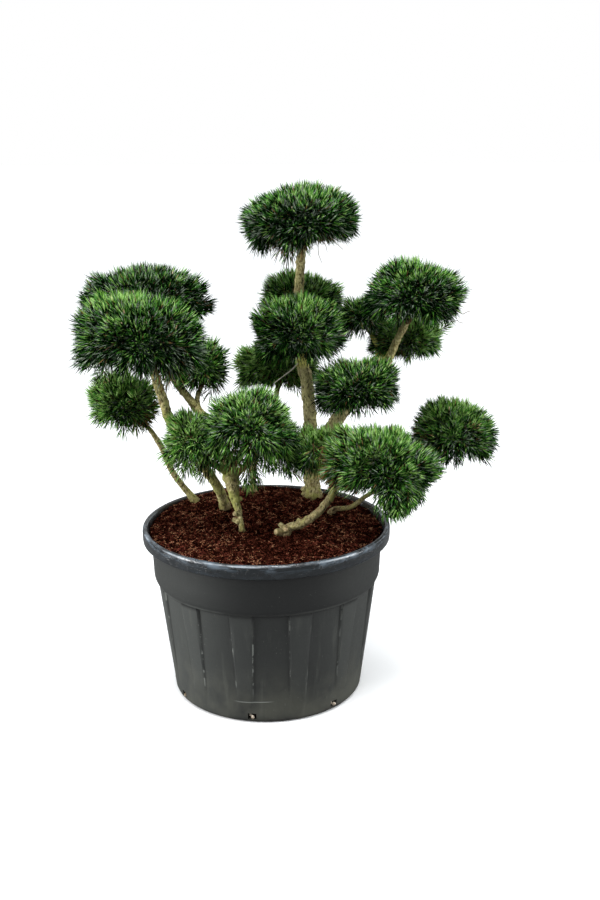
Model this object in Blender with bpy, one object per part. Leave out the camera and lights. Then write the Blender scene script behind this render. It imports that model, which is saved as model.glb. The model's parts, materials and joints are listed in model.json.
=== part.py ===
"""A cloud-pruned mugo pine with several stems, in its round nursery pot, at real size in metres.

The origin is the centre of the pot's flat underside, +Z is up, and the plant is seen from -Y.
Each stem, each bough, each cushion of needles, the substrate and the pot is one closed solid.
"""

import math
import random
from dataclasses import dataclass

import bmesh
import bpy
from mathutils import Matrix, Vector
from mathutils.bvhtree import BVHTree

GAP = 0.0003

# Pot: a round tub with a rolled rim, a collar and twelve sunken panels in a tapering wall.
POT_HEIGHT = 0.603
POT_BASE_RADIUS = 0.334
POT_LEDGE_RADIUS = 0.384
POT_COLLAR_RADIUS = 0.396
POT_COLLAR_TOP_RADIUS = 0.401
POT_RIM_RADIUS = 0.431
POT_MOUTH_RADIUS = 0.412
POT_LEDGE_HEIGHT = 0.412
POT_RIM_DEPTH = 0.048
POT_RIM_ROUND = 0.012
POT_RIM_LIP = 0.007
POT_EDGE = 0.002
POT_COLLAR_RISE = 0.022
POT_FLOOR = 0.006
POT_SKIN = 0.005
FOOT_ROUND = 0.019
FOOT_BEVEL = 0.3
PANELS = 12
PANEL_TURN = math.radians(3.5)
PANEL_SHARE = 0.60
PANEL_EDGE = 0.03
PANEL_SINK = 0.010
PANEL_FADE_LOW = 0.045
PANEL_FADE_POWER = 0.6
HOLES = 7
HOLE_TURN = math.radians(-98)
HOLE_WIDTH = 0.026
HOLE_TALL = 0.020
HOLE_HEIGHT = 0.024
HOLE_LENGTH = 0.060

# Substrate: coir and bark, level in the middle and a little lower along the wall.
SOIL_TOP = 0.592
SOIL_EDGE = 0.578
SOIL_FLAT_RADIUS = 0.372
SOIL_SIDES = 36
SOIL_CLEARANCE = 0.0016

FOOT = SOIL_TOP + GAP

# Limbs: rings between two way points, and the clearance that a cutter leaves.
WAY_STEPS = 2
CUTTER_GROW = 0.00036
THICK_LIMB = 0.0125
THICK_SIDES = 8
THIN_SIDES = 6

# Cushions: a dome's outline, its core's depth below it, its stem and ribs.
DOME_POWER = 2.9
DOME_TOP_SHARE = 0.58
NEEDLE_STAND = 0.042
STAND_SHARE = 0.18
CORE_LEAST = 0.030
CORE_LEAST_TALL = 0.024
STEM_SIDES = 6
STEM_BEND = 0.4
STEM_RISE = 0.005
STEM_THIN = (1.0, 0.92, 0.8, 0.6)
RIB_START = 0.18
RIB_START_LEAST = 0.006
RIB_FALL = 0.10
RIB_REACH = (0.55, 0.75)
RIB_SAG = 0.004
RIB_THIN = (0.42, 0.34, 0.21)

# Sprays: how many there are, how they lie and how one is cut.
SPRAY_TIPS = 4
SPRAY_FAN = math.radians(70)
SPRAY_SINK = 0.018
SPRAY_HEART = 0.41
SPRAY_VALLEY = 0.60
SPRAY_HALF_THICKNESS = 0.0035
SPRAY_AREA = 0.0134
SPRAY_CLEARANCE = 0.0015
SPRAY_LEAST = 12
SPRAY_LOWEST = -0.62
SPRAY_LIFT = 0.30
SPRAY_DROOP = 0.10
DROOP_BELOW = -0.15
SPRAY_JITTER = 0.16
TURN_JITTER = 0.15
SPRAY_LONGEST = 0.14
SPRAY_STEP = 0.002
LENGTH_DRAW = (0.96, 1.03)
OTHERS_KEEP = 0.6

# Fusing: the weld of slivers, the least share of one body, and the tries.
WELD = 2e-5
WHOLE_SHARE = 0.9
SEEDS_TO_TRY = 12
SEED_STEP = 100
TURNS_TO_TRY = 4


@dataclass
class Limb:
    """A tapering stem or bough: its way points are x, y, z and radius."""

    name: str
    parent: str
    way: list


@dataclass
class Cushion:
    """A clipped dome of needles: the middle of its box, its width, depth and height."""

    name: str
    bough: str
    middle: tuple
    width: float
    depth: float
    height: float
    ribs: int = 3


LIMBS = [
    Limb("trunk", "", [
        (0.165, 0.300, FOOT, 0.041), (0.164, 0.298, 0.625, 0.031), (0.160, 0.292, 0.702, 0.0265),
        (0.157, 0.270, 0.877, 0.0240), (0.142, 0.250, 1.060, 0.0215), (0.111, 0.240, 1.164, 0.0205),
        (0.115, 0.230, 1.273, 0.0165), (0.118, 0.225, 1.373, 0.0150), (0.123, 0.220, 1.457, 0.0145),
        (0.131, 0.216, 1.548, 0.0135),
    ]),
    Limb("limb_right", "trunk", [
        (0.158, 0.281, 0.755, 0.0225), (0.206, 0.281, 0.818, 0.0255), (0.261, 0.272, 0.908, 0.0255),
        (0.310, 0.260, 0.980, 0.0245), (0.356, 0.240, 1.074, 0.0210), (0.429, 0.220, 1.129, 0.0170),
        (0.462, 0.200, 1.202, 0.0160), (0.494, 0.168, 1.280, 0.0145),
    ]),
    Limb("bough_middle", "trunk", [
        (0.112, 0.240, 1.160, 0.0120), (0.112, 0.205, 1.170, 0.0115), (0.114, 0.172, 1.183, 0.0105),
    ]),
    Limb("bough_back", "trunk", [
        (0.115, 0.230, 1.235, 0.0115), (0.119, 0.290, 1.243, 0.0110), (0.125, 0.385, 1.262, 0.0095),
    ]),
    Limb("bough_far_right", "limb_right", [
        (0.183, 0.282, 0.806, 0.0150), (0.260, 0.283, 0.800, 0.0145), (0.360, 0.275, 0.788, 0.0135),
        (0.460, 0.260, 0.786, 0.0125), (0.550, 0.238, 0.797, 0.0115), (0.618, 0.226, 0.808, 0.0100),
    ]),
    Limb("bough_right_middle", "limb_right", [
        (0.303, 0.262, 0.970, 0.0120), (0.308, 0.205, 0.976, 0.0115), (0.318, 0.130, 0.992, 0.0095),
    ]),
    Limb("bough_right_back", "limb_right", [
        (0.345, 0.243, 1.061, 0.0135), (0.387, 0.280, 1.110, 0.0125), (0.440, 0.318, 1.128, 0.0105),
        (0.480, 0.330, 1.135, 0.0095),
    ]),
    Limb("bough_right_inner", "bough_right_back", [
        (0.407, 0.292, 1.119, 0.0105), (0.401, 0.306, 1.165, 0.0100), (0.378, 0.327, 1.208, 0.0085),
    ]),
    Limb("stem_left_thin", "", [
        (-0.266, 0.240, FOOT, 0.0185), (-0.290, 0.236, 0.628, 0.0125), (-0.328, 0.220, 0.686, 0.0115),
        (-0.351, 0.200, 0.737, 0.0112), (-0.374, 0.180, 0.812, 0.0105), (-0.409, 0.162, 0.884, 0.0090),
        (-0.434, 0.155, 0.914, 0.0082),
    ]),
    Limb("stem_left", "", [
        (-0.154, 0.172, FOOT, 0.0215), (-0.163, 0.150, 0.645, 0.0180), (-0.184, 0.128, 0.702, 0.0172),
        (-0.224, 0.100, 0.775, 0.0170), (-0.279, 0.060, 0.870, 0.0172), (-0.325, 0.030, 0.953, 0.0170),
        (-0.344, 0.000, 1.040, 0.0165), (-0.360, -0.022, 1.108, 0.0155), (-0.371, -0.036, 1.160, 0.0145),
    ]),
    Limb("stem_front_left", "", [
        (-0.082, -0.068, FOOT, 0.0155), (-0.088, -0.052, 0.625, 0.0125), (-0.097, -0.032, 0.660, 0.0135),
        (-0.108, -0.012, 0.692, 0.0180), (-0.115, 0.002, 0.730, 0.0218), (-0.125, 0.022, 0.781, 0.0262),
        (-0.155, 0.080, 0.855, 0.0215), (-0.200, 0.130, 0.918, 0.0190), (-0.247, 0.170, 0.968, 0.0169),
        (-0.332, 0.220, 1.067, 0.0160), (-0.398, 0.244, 1.170, 0.0135), (-0.420, 0.250, 1.258, 0.0115),
    ]),
    Limb("bough_left_inner", "stem_front_left", [
        (-0.238, 0.162, 0.962, 0.0092), (-0.246, 0.194, 1.000, 0.0088), (-0.234, 0.214, 1.036, 0.0080),
    ]),
    Limb("bough_front_left", "stem_front_left", [
        (-0.124, 0.020, 0.770, 0.0140), (-0.172, -0.022, 0.815, 0.0125), (-0.222, -0.047, 0.848, 0.0095),
    ]),
    Limb("bough_front_middle", "stem_front_left", [
        (-0.130, 0.030, 0.796, 0.0150), (-0.095, -0.040, 0.837, 0.0130), (-0.068, -0.084, 0.897, 0.0105),
    ]),
    Limb("bough_front_inner", "stem_front_left", [
        (-0.119, 0.010, 0.750, 0.0115), (-0.066, 0.026, 0.802, 0.0105), (-0.004, 0.044, 0.850, 0.0085),
    ]),
    Limb("stem_back", "", [
        (-0.058, 0.345, FOOT, 0.0150), (-0.058, 0.343, 0.640, 0.0118), (-0.052, 0.340, 0.720, 0.0112),
        (-0.023, 0.340, 0.822, 0.0110), (0.018, 0.340, 0.918, 0.0102), (0.036, 0.346, 0.992, 0.0092),
    ]),
    Limb("limb_front_right", "", [
        (0.066, -0.104, FOOT, 0.0215), (0.078, -0.108, 0.6145, 0.0195), (0.115, -0.118, 0.630, 0.0175),
        (0.166, -0.120, 0.663, 0.0163), (0.198, -0.120, 0.697, 0.0158), (0.224, -0.120, 0.735, 0.0153),
        (0.244, -0.120, 0.784, 0.0145),
    ]),
    Limb("bough_front_small", "limb_front_right", [
        (0.229, -0.120, 0.748, 0.0095), (0.218, -0.082, 0.786, 0.0085), (0.198, -0.030, 0.818, 0.0080),
    ]),
    Limb("stem_low_right", "", [
        (0.229, 0.118, FOOT, 0.0135), (0.245, 0.106, 0.610, 0.0115), (0.274, 0.090, 0.618, 0.0113),
        (0.304, 0.066, 0.634, 0.0107), (0.348, 0.030, 0.682, 0.0098), (0.391, -0.004, 0.718, 0.0088),
    ]),
]

CUSHIONS = [
    Cushion("needles_top", "trunk", (0.129, 0.220, 1.630), 0.450, 0.400, 0.258, 5),
    Cushion("needles_back", "bough_back", (0.127, 0.450, 1.325), 0.340, 0.280, 0.210),
    Cushion("needles_middle", "bough_middle", (0.116, 0.112, 1.254), 0.382, 0.275, 0.282, 4),
    Cushion("needles_back_low", "stem_back", (0.040, 0.374, 1.084), 0.335, 0.245, 0.222),
    Cushion("needles_left_back", "stem_front_left", (-0.424, 0.254, 1.351), 0.525, 0.320, 0.248, 5),
    Cushion("needles_left_front", "stem_left", (-0.412, -0.066, 1.272), 0.500, 0.335, 0.298, 5),
    Cushion("needles_left_inner", "bough_left_inner", (-0.226, 0.224, 1.112), 0.210, 0.200, 0.215),
    Cushion("needles_left_low", "stem_left_thin", (-0.503, 0.150, 0.994), 0.290, 0.255, 0.250, 4),
    Cushion("needles_front_left", "bough_front_left", (-0.250, -0.060, 0.922), 0.212, 0.205, 0.212),
    Cushion("needles_front_middle", "bough_front_middle", (-0.043, -0.104, 0.990), 0.305, 0.255, 0.255, 4),
    Cushion("needles_front_inner", "bough_front_inner", (0.036, 0.058, 0.889), 0.190, 0.180, 0.198),
    Cushion("needles_right_top", "limb_right", (0.520, 0.120, 1.387), 0.382, 0.310, 0.264, 5),
    Cushion("needles_right_inner", "bough_right_inner", (0.349, 0.345, 1.276), 0.192, 0.195, 0.170),
    Cushion("needles_right_back", "bough_right_back", (0.520, 0.345, 1.187), 0.274, 0.250, 0.182),
    Cushion("needles_right_middle", "bough_right_middle", (0.325, 0.074, 1.070), 0.340, 0.275, 0.214, 4),
    Cushion("needles_far_right", "bough_far_right", (0.681, 0.220, 0.868), 0.336, 0.290, 0.266, 4),
    Cushion("needles_front_right", "limb_front_right", (0.402, -0.150, 0.855), 0.432, 0.350, 0.316, 5),
    Cushion("needles_front_small", "bough_front_small", (0.168, 0.066, 0.841), 0.205, 0.185, 0.200),
]


def clear_scene():
    for obj in list(bpy.data.objects):
        bpy.data.objects.remove(obj)


def make_material(name, colour, roughness, metallic=0.0):
    material = bpy.data.materials.new(name)
    material.use_nodes = True
    shader = material.node_tree.nodes["Principled BSDF"]
    shader.inputs["Base Color"].default_value = (*colour, 1.0)
    shader.inputs["Roughness"].default_value = roughness
    shader.inputs["Metallic"].default_value = metallic
    return material


def place(name, points, faces, material=None):
    """A new object in the scene, from points and faces."""
    mesh = bpy.data.meshes.new(name)
    mesh.from_pydata([tuple(point) for point in points], [], faces)
    mesh.update()
    obj = bpy.data.objects.new(name, mesh)
    bpy.context.scene.collection.objects.link(obj)
    if material:
        mesh.materials.append(material)
    return obj


def place_tool(shape):
    """An object for a Boolean to use, outside the scene's own collection."""
    tool = place("tool", *shape)
    bpy.context.scene.collection.objects.unlink(tool)
    return tool


def largest_shell(obj):
    """Keeps the body with the most faces: loose scraps go, and a hollow that fusing sealed is filled."""
    work = bmesh.new()
    work.from_mesh(obj.data)
    left = set(work.faces)
    shells = []
    while left:
        shell = set()
        edge_of_search = [left.pop()]
        while edge_of_search:
            face = edge_of_search.pop()
            shell.add(face)
            for edge in face.edges:
                for other in edge.link_faces:
                    if other in left:
                        left.remove(other)
                        edge_of_search.append(other)
        shells.append(shell)
    keep = max(shells, key=len)
    scraps = [face for face in work.faces if face not in keep]
    bmesh.ops.delete(work, geom=scraps, context="FACES")
    loose = [vert for vert in work.verts if not vert.link_faces]
    bmesh.ops.delete(work, geom=loose, context="VERTS")
    work.to_mesh(obj.data)
    work.free()


def is_closed(obj):
    work = bmesh.new()
    work.from_mesh(obj.data)
    closed = all(edge.is_manifold for edge in work.edges) and len(work.faces) > 0
    work.free()
    return closed


def combined(obj, operation, tools):
    """Makes one Boolean with a collection of tools, applies it and removes them.

    It tells whether the result is one closed body. Where it is not, the object keeps its shape.
    """
    before = obj.data
    group = bpy.data.collections.new(obj.name + "_tools")
    for tool in tools:
        group.objects.link(tool)
    whole = False
    for solver in ("EXACT", "MANIFOLD"):
        modifier = obj.modifiers.new(operation.lower(), "BOOLEAN")
        modifier.operation = operation
        modifier.operand_type = "COLLECTION"
        modifier.collection = group
        modifier.solver = solver
        graph = bpy.context.evaluated_depsgraph_get()
        fused = bpy.data.meshes.new_from_object(obj.evaluated_get(graph))
        obj.modifiers.clear()
        obj.data = fused
        faces_made = tidy_mesh(obj)
        whole = is_closed(obj) and len(obj.data.polygons) > WHOLE_SHARE * faces_made
        if whole:
            break
        obj.data = before
    for tool in tools:
        bpy.data.objects.remove(tool)
    bpy.data.collections.remove(group)
    return whole


def tidy_mesh(obj):
    """Welds the slivers that a Boolean leaves, keeps one body, and tells how many faces there were."""
    work = bmesh.new()
    work.from_mesh(obj.data)
    bmesh.ops.remove_doubles(work, verts=work.verts, dist=WELD)
    bmesh.ops.triangulate(work, faces=work.faces)
    faces_made = len(work.faces)
    work.to_mesh(obj.data)
    work.free()
    largest_shell(obj)
    return faces_made


def panel_profile(angle):
    """1 in the middle of a sunken panel of the pot's wall, 0 on the rib beside it."""
    period = 2 * math.pi / PANELS
    place_in_period = ((angle + math.pi / 2 - PANEL_TURN) / period + 0.5) % 1 - 0.5
    return 1.0 if abs(place_in_period) < PANEL_SHARE / 2 else 0.0


def pot_angles():
    """Six marks a panel: just in and just out of it at both ends, and the two middles."""
    period = 2 * math.pi / PANELS
    edge = PANEL_SHARE / 2
    marks = (-0.5, -edge - PANEL_EDGE, -edge + PANEL_EDGE, 0.0, edge - PANEL_EDGE, edge + PANEL_EDGE)
    start = PANEL_TURN - math.pi / 2
    return [start + (panel + mark) * period for panel in range(PANELS) for mark in marks]


def wall_radius(height):
    share = (height - FOOT_ROUND) / (POT_LEDGE_HEIGHT - FOOT_ROUND)
    return POT_BASE_RADIUS + (POT_LEDGE_RADIUS - POT_BASE_RADIUS) * share


def panel_depth(height):
    share = (height - PANEL_FADE_LOW) / (POT_LEDGE_HEIGHT - PANEL_FADE_LOW)
    return PANEL_SINK * max(0.0, share) ** PANEL_FADE_POWER


def inner_radius(height):
    """The inside of the pot is a cone, then one that widens under the collar, then the mouth."""
    if height <= POT_LEDGE_HEIGHT:
        return wall_radius(height) - PANEL_SINK - POT_SKIN
    low = wall_radius(POT_LEDGE_HEIGHT) - PANEL_SINK - POT_SKIN
    collar = POT_COLLAR_RADIUS - POT_SKIN
    rim_bottom = POT_HEIGHT - POT_RIM_DEPTH
    if height <= rim_bottom:
        return low + (collar - low) * (height - POT_LEDGE_HEIGHT) / (rim_bottom - POT_LEDGE_HEIGHT)
    return collar + (POT_MOUTH_RADIUS - collar) * (height - rim_bottom) / POT_RIM_DEPTH


def rings_to_solid(rings):
    """Joins rings of equal count side by side, and closes both ends with a fan."""
    points = [point for ring in rings for point in ring]
    sides = len(rings[0])
    faces = []
    for row in range(len(rings) - 1):
        for side in range(sides):
            after = (side + 1) % sides
            faces.append((row * sides + side, row * sides + after,
                          (row + 1) * sides + after, (row + 1) * sides + side))
    for row, flip in ((0, True), (len(rings) - 1, False)):
        hub = len(points)
        ring = rings[row]
        points.append(sum((Vector(point) for point in ring), Vector()) / sides)
        for side in range(sides):
            after = (side + 1) % sides
            face = (row * sides + side, row * sides + after, hub)
            faces.append(face[::-1] if flip else face)
    return points, faces


def pot_rings():
    """From the middle of the underside, up the outside, over the rim and down inside to the floor."""
    angles = pot_angles()
    rim_bottom = POT_HEIGHT - POT_RIM_DEPTH

    def plain(radius, height):
        return [(radius * math.cos(a), radius * math.sin(a), height) for a in angles]

    def panelled(height):
        ring = []
        for a in angles:
            radius = wall_radius(height) - panel_depth(height) * panel_profile(a)
            ring.append((radius * math.cos(a), radius * math.sin(a), height))
        return ring

    rings = [
        plain(POT_BASE_RADIUS - FOOT_ROUND, 0.0),
        plain(POT_BASE_RADIUS - FOOT_BEVEL * FOOT_ROUND, FOOT_BEVEL * FOOT_ROUND),
        panelled(FOOT_ROUND),
        panelled(PANEL_FADE_LOW),
        panelled(POT_LEDGE_HEIGHT - POT_EDGE),
        plain(POT_LEDGE_RADIUS + POT_EDGE, POT_LEDGE_HEIGHT),
        plain(POT_COLLAR_RADIUS, POT_LEDGE_HEIGHT + POT_COLLAR_RISE),
        plain(POT_COLLAR_TOP_RADIUS, rim_bottom),
        plain(POT_RIM_RADIUS - POT_EDGE, rim_bottom + POT_EDGE),
        plain(POT_RIM_RADIUS, POT_HEIGHT - POT_RIM_ROUND),
        plain(POT_RIM_RADIUS - POT_RIM_LIP, POT_HEIGHT),
        plain(POT_MOUTH_RADIUS, POT_HEIGHT - POT_EDGE),
        plain(inner_radius(rim_bottom), rim_bottom),
        plain(inner_radius(POT_LEDGE_HEIGHT), POT_LEDGE_HEIGHT),
        plain(inner_radius(FOOT_ROUND), POT_FLOOR),
    ]
    return rings


def build_pot(material):
    points, faces = rings_to_solid(pot_rings())
    pot = place("pot", points, faces, material)
    cutters = []
    for hole in range(HOLES):
        angle = HOLE_TURN + hole * 2 * math.pi / HOLES
        cutters.append(box_at("hole", angle))
    combined(pot, "DIFFERENCE", cutters)


def box_at(name, angle):
    """A drain hole's cutter: a box with its long side along the radius at this angle."""
    work = bmesh.new()
    bmesh.ops.create_cube(work, size=1.0)
    size = Matrix.Diagonal((HOLE_LENGTH, HOLE_WIDTH, HOLE_TALL, 1.0))
    move = Matrix.Translation((POT_BASE_RADIUS - POT_FLOOR, 0.0, HOLE_HEIGHT))
    bmesh.ops.transform(work, matrix=Matrix.Rotation(angle, 4, "Z") @ move @ size, verts=work.verts)
    mesh = bpy.data.meshes.new(name)
    work.to_mesh(mesh)
    work.free()
    return bpy.data.objects.new(name, mesh)


def build_soil(material):
    """The substrate fills the pot: it stands on the floor, clear of the wall by a hair."""
    inset = 1 / math.cos(math.pi / SOIL_SIDES)
    heights = (POT_FLOOR + GAP, POT_LEDGE_HEIGHT, POT_HEIGHT - POT_RIM_DEPTH, SOIL_EDGE)
    low = inner_radius(FOOT_ROUND) / inset
    radii = [low] + [inner_radius(height) / inset for height in heights[1:]]
    rows = [(radius - SOIL_CLEARANCE, height) for radius, height in zip(radii, heights)]
    rows.append((SOIL_FLAT_RADIUS, SOIL_TOP))
    rings = []
    for radius, height in rows:
        ring = []
        for side in range(SOIL_SIDES):
            angle = 2 * math.pi * side / SOIL_SIDES
            ring.append((radius * math.cos(angle), radius * math.sin(angle), height))
        rings.append(ring)
    points, faces = rings_to_solid(rings)
    return place("soil", points, faces, material)


def smooth_way(way, steps):
    """Points and radii on a smooth curve through the way points, with steps from one to the next."""
    rows = [Vector(row) for row in way]
    first = rows[0] * 2 - rows[1]
    last = rows[-1] * 2 - rows[-2]
    rows = [first, *rows, last]
    out = []
    for i in range(1, len(rows) - 2):
        a, b, c, d = rows[i - 1:i + 3]
        for step in range(steps):
            t = step / steps
            out.append(0.5 * (2 * b + (c - a) * t + (2 * a - 5 * b + 4 * c - d) * t ** 2
                              + (3 * b - a - 3 * c + d) * t ** 3))
    out.append(rows[-2])
    return [row.to_3d() for row in out], [row[3] for row in out]


def tube(centres, radii, sides, first_heading=None, grow=0.0):
    """Rings square to a curve, carried along it without twist, and closed at both ends."""
    headings = []
    for i, centre in enumerate(centres):
        before = centres[max(i - 1, 0)]
        after = centres[min(i + 1, len(centres) - 1)]
        headings.append((after - before).normalized())
    if first_heading:
        headings[0] = first_heading
    side_way = headings[0].orthogonal().normalized()
    rings = []
    for centre, heading, radius in zip(centres, headings, radii):
        side_way = (side_way - heading * side_way.dot(heading)).normalized()
        up_way = heading.cross(side_way)
        ring = []
        for side in range(sides):
            angle = 2 * math.pi * side / sides
            spoke = side_way * math.cos(angle) + up_way * math.sin(angle)
            ring.append(centre + spoke * (radius + grow))
        rings.append(ring)
    return rings_to_solid(rings)


def limb_shape(limb, grow=0.0):
    """A limb's skin, or with grow a cutter that is larger than it all round and at its tip."""
    centres, radii = smooth_way(limb.way, WAY_STEPS)
    centres[-1] += (centres[-1] - centres[-2]).normalized() * grow
    sides = THICK_SIDES if max(radii) > THICK_LIMB else THIN_SIDES
    upright = Vector((0, 0, 1)) if not limb.parent else None
    return tube(centres, radii, sides, upright, grow)


def build_limbs(material):
    """Every stem and bough. A bough is hollowed to sit on its parent and on boughs it springs beside."""
    limbs = {}
    for number, limb in enumerate(LIMBS):
        obj = place(limb.name, *limb_shape(limb), material)
        if limb.parent:
            tree = mesh_tree(obj)
            met = [other for other in LIMBS[:number] if mesh_tree(limbs[other.name]).overlap(tree)]
            combined(obj, "DIFFERENCE", [place_tool(limb_shape(other, CUTTER_GROW)) for other in met])
        limbs[limb.name] = obj
    return limbs


def tip_of(limb):
    """Where a limb ends, the way it points there, and its radius."""
    centres, radii = smooth_way(limb.way, WAY_STEPS)
    heading = (centres[-1] - centres[-2]).normalized()
    return centres[-1], heading, radii[-1]


def dome_point(cushion, direction, shrink):
    """A point of the cushion's dome in a direction from its middle, the dome drawn in by shrink."""
    wide = max(cushion.width / 2 - shrink, CORE_LEAST)
    deep = max(cushion.depth / 2 - shrink, CORE_LEAST)
    top = DOME_TOP_SHARE * cushion.height
    tall = max((top if direction.z > 0 else cushion.height - top) - shrink, CORE_LEAST_TALL)
    flat = (abs(direction.x / wide) ** 2 + abs(direction.y / deep) ** 2) ** 0.5
    size = (flat ** DOME_POWER + abs(direction.z / tall) ** DOME_POWER) ** (1 / DOME_POWER)
    return widest_level(cushion) + direction / size


def stand_of(cushion):
    """How far needles stand out of the core: less on a small cushion."""
    return min(NEEDLE_STAND, STAND_SHARE * cushion.height)


def widest_level(cushion):
    """The middle of the dome's widest level: most of the dome rises above it."""
    return Vector(cushion.middle) + Vector((0, 0, (0.5 - DOME_TOP_SHARE) * cushion.height))


def within(cushion, point, shrink=0.0):
    level = widest_level(cushion)
    offset = point - level
    return offset.length <= (dome_point(cushion, offset.normalized(), shrink) - level).length


def core_shape(cushion):
    """The dense inside of a cushion, a faceted dome with a flatter underside."""
    work = bmesh.new()
    bmesh.ops.create_icosphere(work, subdivisions=2, radius=1.0)
    points = [dome_point(cushion, vert.co.normalized(), stand_of(cushion)) for vert in work.verts]
    faces = [tuple(vert.index for vert in face.verts) for face in work.faces]
    work.free()
    return points, faces


def stem_shape(cushion, limb):
    """The cushion's own stem: it starts a hair off its bough's tip and ends in the core."""
    tip, heading, radius = tip_of(limb)
    start = tip + heading * GAP
    heart = widest_level(cushion) + Vector((0, 0, STEM_RISE))
    bend = start + heading * (heart - start).length * STEM_BEND
    centres = [start, start.lerp(bend, 0.5), bend.lerp(heart, 0.5), heart]
    return tube(centres, [radius * thin for thin in STEM_THIN], STEM_SIDES, heading)


def rib_shapes(cushion, limb, draw):
    """Twigs that leave the stem below the core and rise into it, as the ribs of an umbrella."""
    tip, heading, radius = tip_of(limb)
    level = widest_level(cushion)
    start = tip + heading * max(RIB_START_LEAST, RIB_START * (level - tip).length)
    turn = draw.uniform(0, 2 * math.pi)
    shapes = []
    for rib in range(cushion.ribs):
        angle = turn + 2 * math.pi * rib / cushion.ribs
        spread = Vector((math.cos(angle), math.sin(angle), -RIB_FALL)).normalized()
        edge = dome_point(cushion, spread, stand_of(cushion))
        end = level.lerp(edge, draw.uniform(*RIB_REACH))
        middle = start.lerp(end, 0.5) - Vector((0, 0, RIB_SAG))
        shapes.append(tube([start, middle, end], [radius * thin for thin in RIB_THIN], 3))
    return shapes


def spray_shape(root, heading, across, length):
    """A toothed blade: needles fan from one root, thickest at the heart and sharp at the tips."""
    points = [root]
    for i in range(2 * SPRAY_TIPS - 1):
        angle = (i / (2 * SPRAY_TIPS - 2) - 0.5) * SPRAY_FAN
        reach = length if i % 2 == 0 else length * SPRAY_VALLEY
        points.append(root + heading * (reach * math.cos(angle)) + across * (reach * math.sin(angle)))
    rim = len(points)
    through = heading.cross(across).normalized() * SPRAY_HALF_THICKNESS
    heart = root + heading * (length * SPRAY_HEART)
    points += [heart + through, heart - through]
    faces = []
    for i in range(rim):
        after = (i + 1) % rim
        faces.append((i, after, rim + 1))
        faces.append((after, i, rim))
    return points, faces


def spray_count(cushion):
    """More sprays on a larger dome: its area is taken as a cap and a band of its mean width."""
    mean = (cushion.width + cushion.depth) / 2
    area = math.pi * mean * (mean / 2 + DOME_TOP_SHARE ** 2 * cushion.height)
    return max(SPRAY_LEAST, round(area / SPRAY_AREA))


def spray_places(cushion, draw):
    """Roots and headings over the dome, evenly dealt by the golden angle from the top downwards."""
    count = spray_count(cushion)
    golden = math.pi * (3 - math.sqrt(5))
    turn = draw.uniform(0, 2 * math.pi)
    for i in range(count):
        rise = 1 - (1 - SPRAY_LOWEST) * (i + 0.5) / count
        angle = turn + i * golden + draw.uniform(-TURN_JITTER, TURN_JITTER)
        flat = math.sqrt(1 - rise * rise)
        yield Vector((math.cos(angle) * flat, math.sin(angle) * flat, rise))


def grow_spray(cushion, core_tree, direction, draw):
    """One spray in a direction from the dome's middle: its tips reach the outline of the cushion."""
    skin = core_tree.ray_cast(widest_level(cushion), direction)[0]
    lift = SPRAY_LIFT * (1 - abs(direction.z)) if direction.z > DROOP_BELOW else -SPRAY_DROOP
    jitter = Vector([draw.uniform(-SPRAY_JITTER, SPRAY_JITTER) for _ in range(3)])
    heading = (direction + Vector((0, 0, lift)) + jitter).normalized()
    root = skin - heading * SPRAY_SINK
    reach = SPRAY_SINK
    while within(cushion, root + heading * (reach + SPRAY_STEP)) and reach < SPRAY_LONGEST:
        reach += SPRAY_STEP
    length = reach * draw.uniform(*LENGTH_DRAW)
    roll = draw.uniform(0, math.pi)
    first = heading.orthogonal().normalized()
    across = first * math.cos(roll) + heading.cross(first) * math.sin(roll)
    return spray_shape(root, heading, across, length)


def hits(shape, obstacles):
    """Whether a shape touches an obstacle, or has a point nearer to one than the clearance."""
    points, faces = shape
    tree = BVHTree.FromPolygons([tuple(point) for point in points], faces)
    for obstacle in obstacles:
        if obstacle.overlap(tree):
            return True
        if any(obstacle.find_nearest(point, SPRAY_CLEARANCE)[0] for point in points):
            return True
    return False


def outside_others(cushion, shape):
    """Whether every point keeps out of the cores of the other cushions."""
    points, _ = shape
    for other in CUSHIONS:
        if other is cushion:
            continue
        if any(within(other, point, stand_of(other) * OTHERS_KEEP) for point in points):
            return False
    return True


def grow_sprays(cushion, core_tree, obstacles, draw):
    """The cushion's sprays. One that would touch something is turned a few times, then left out."""
    sprays = []
    for direction in spray_places(cushion, draw):
        for _ in range(TURNS_TO_TRY):
            shape = grow_spray(cushion, core_tree, direction, draw)
            if outside_others(cushion, shape) and not hits(shape, obstacles):
                sprays.append(shape)
                break
    return sprays


def shape_tree(shapes):
    points = []
    faces = []
    for shape_points, shape_faces in shapes:
        start = len(points)
        points += [tuple(point) for point in shape_points]
        faces += [tuple(start + i for i in face) for face in shape_faces]
    return BVHTree.FromPolygons(points, faces)


def mesh_tree(obj):
    faces = [tuple(polygon.vertices) for polygon in obj.data.polygons]
    return BVHTree.FromPolygons([tuple(vert.co) for vert in obj.data.vertices], faces)


def build_core(cushion, limb_trees, material):
    """The core as an object, cut clear of each limb that runs into it."""
    core = place(cushion.name, *core_shape(cushion), material)
    tree = mesh_tree(core)
    met = [limb for limb in LIMBS if limb_trees[limb.name].overlap(tree)]
    if met:
        combined(core, "DIFFERENCE", [place_tool(limb_shape(limb, CUTTER_GROW)) for limb in met])
    return core


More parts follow.
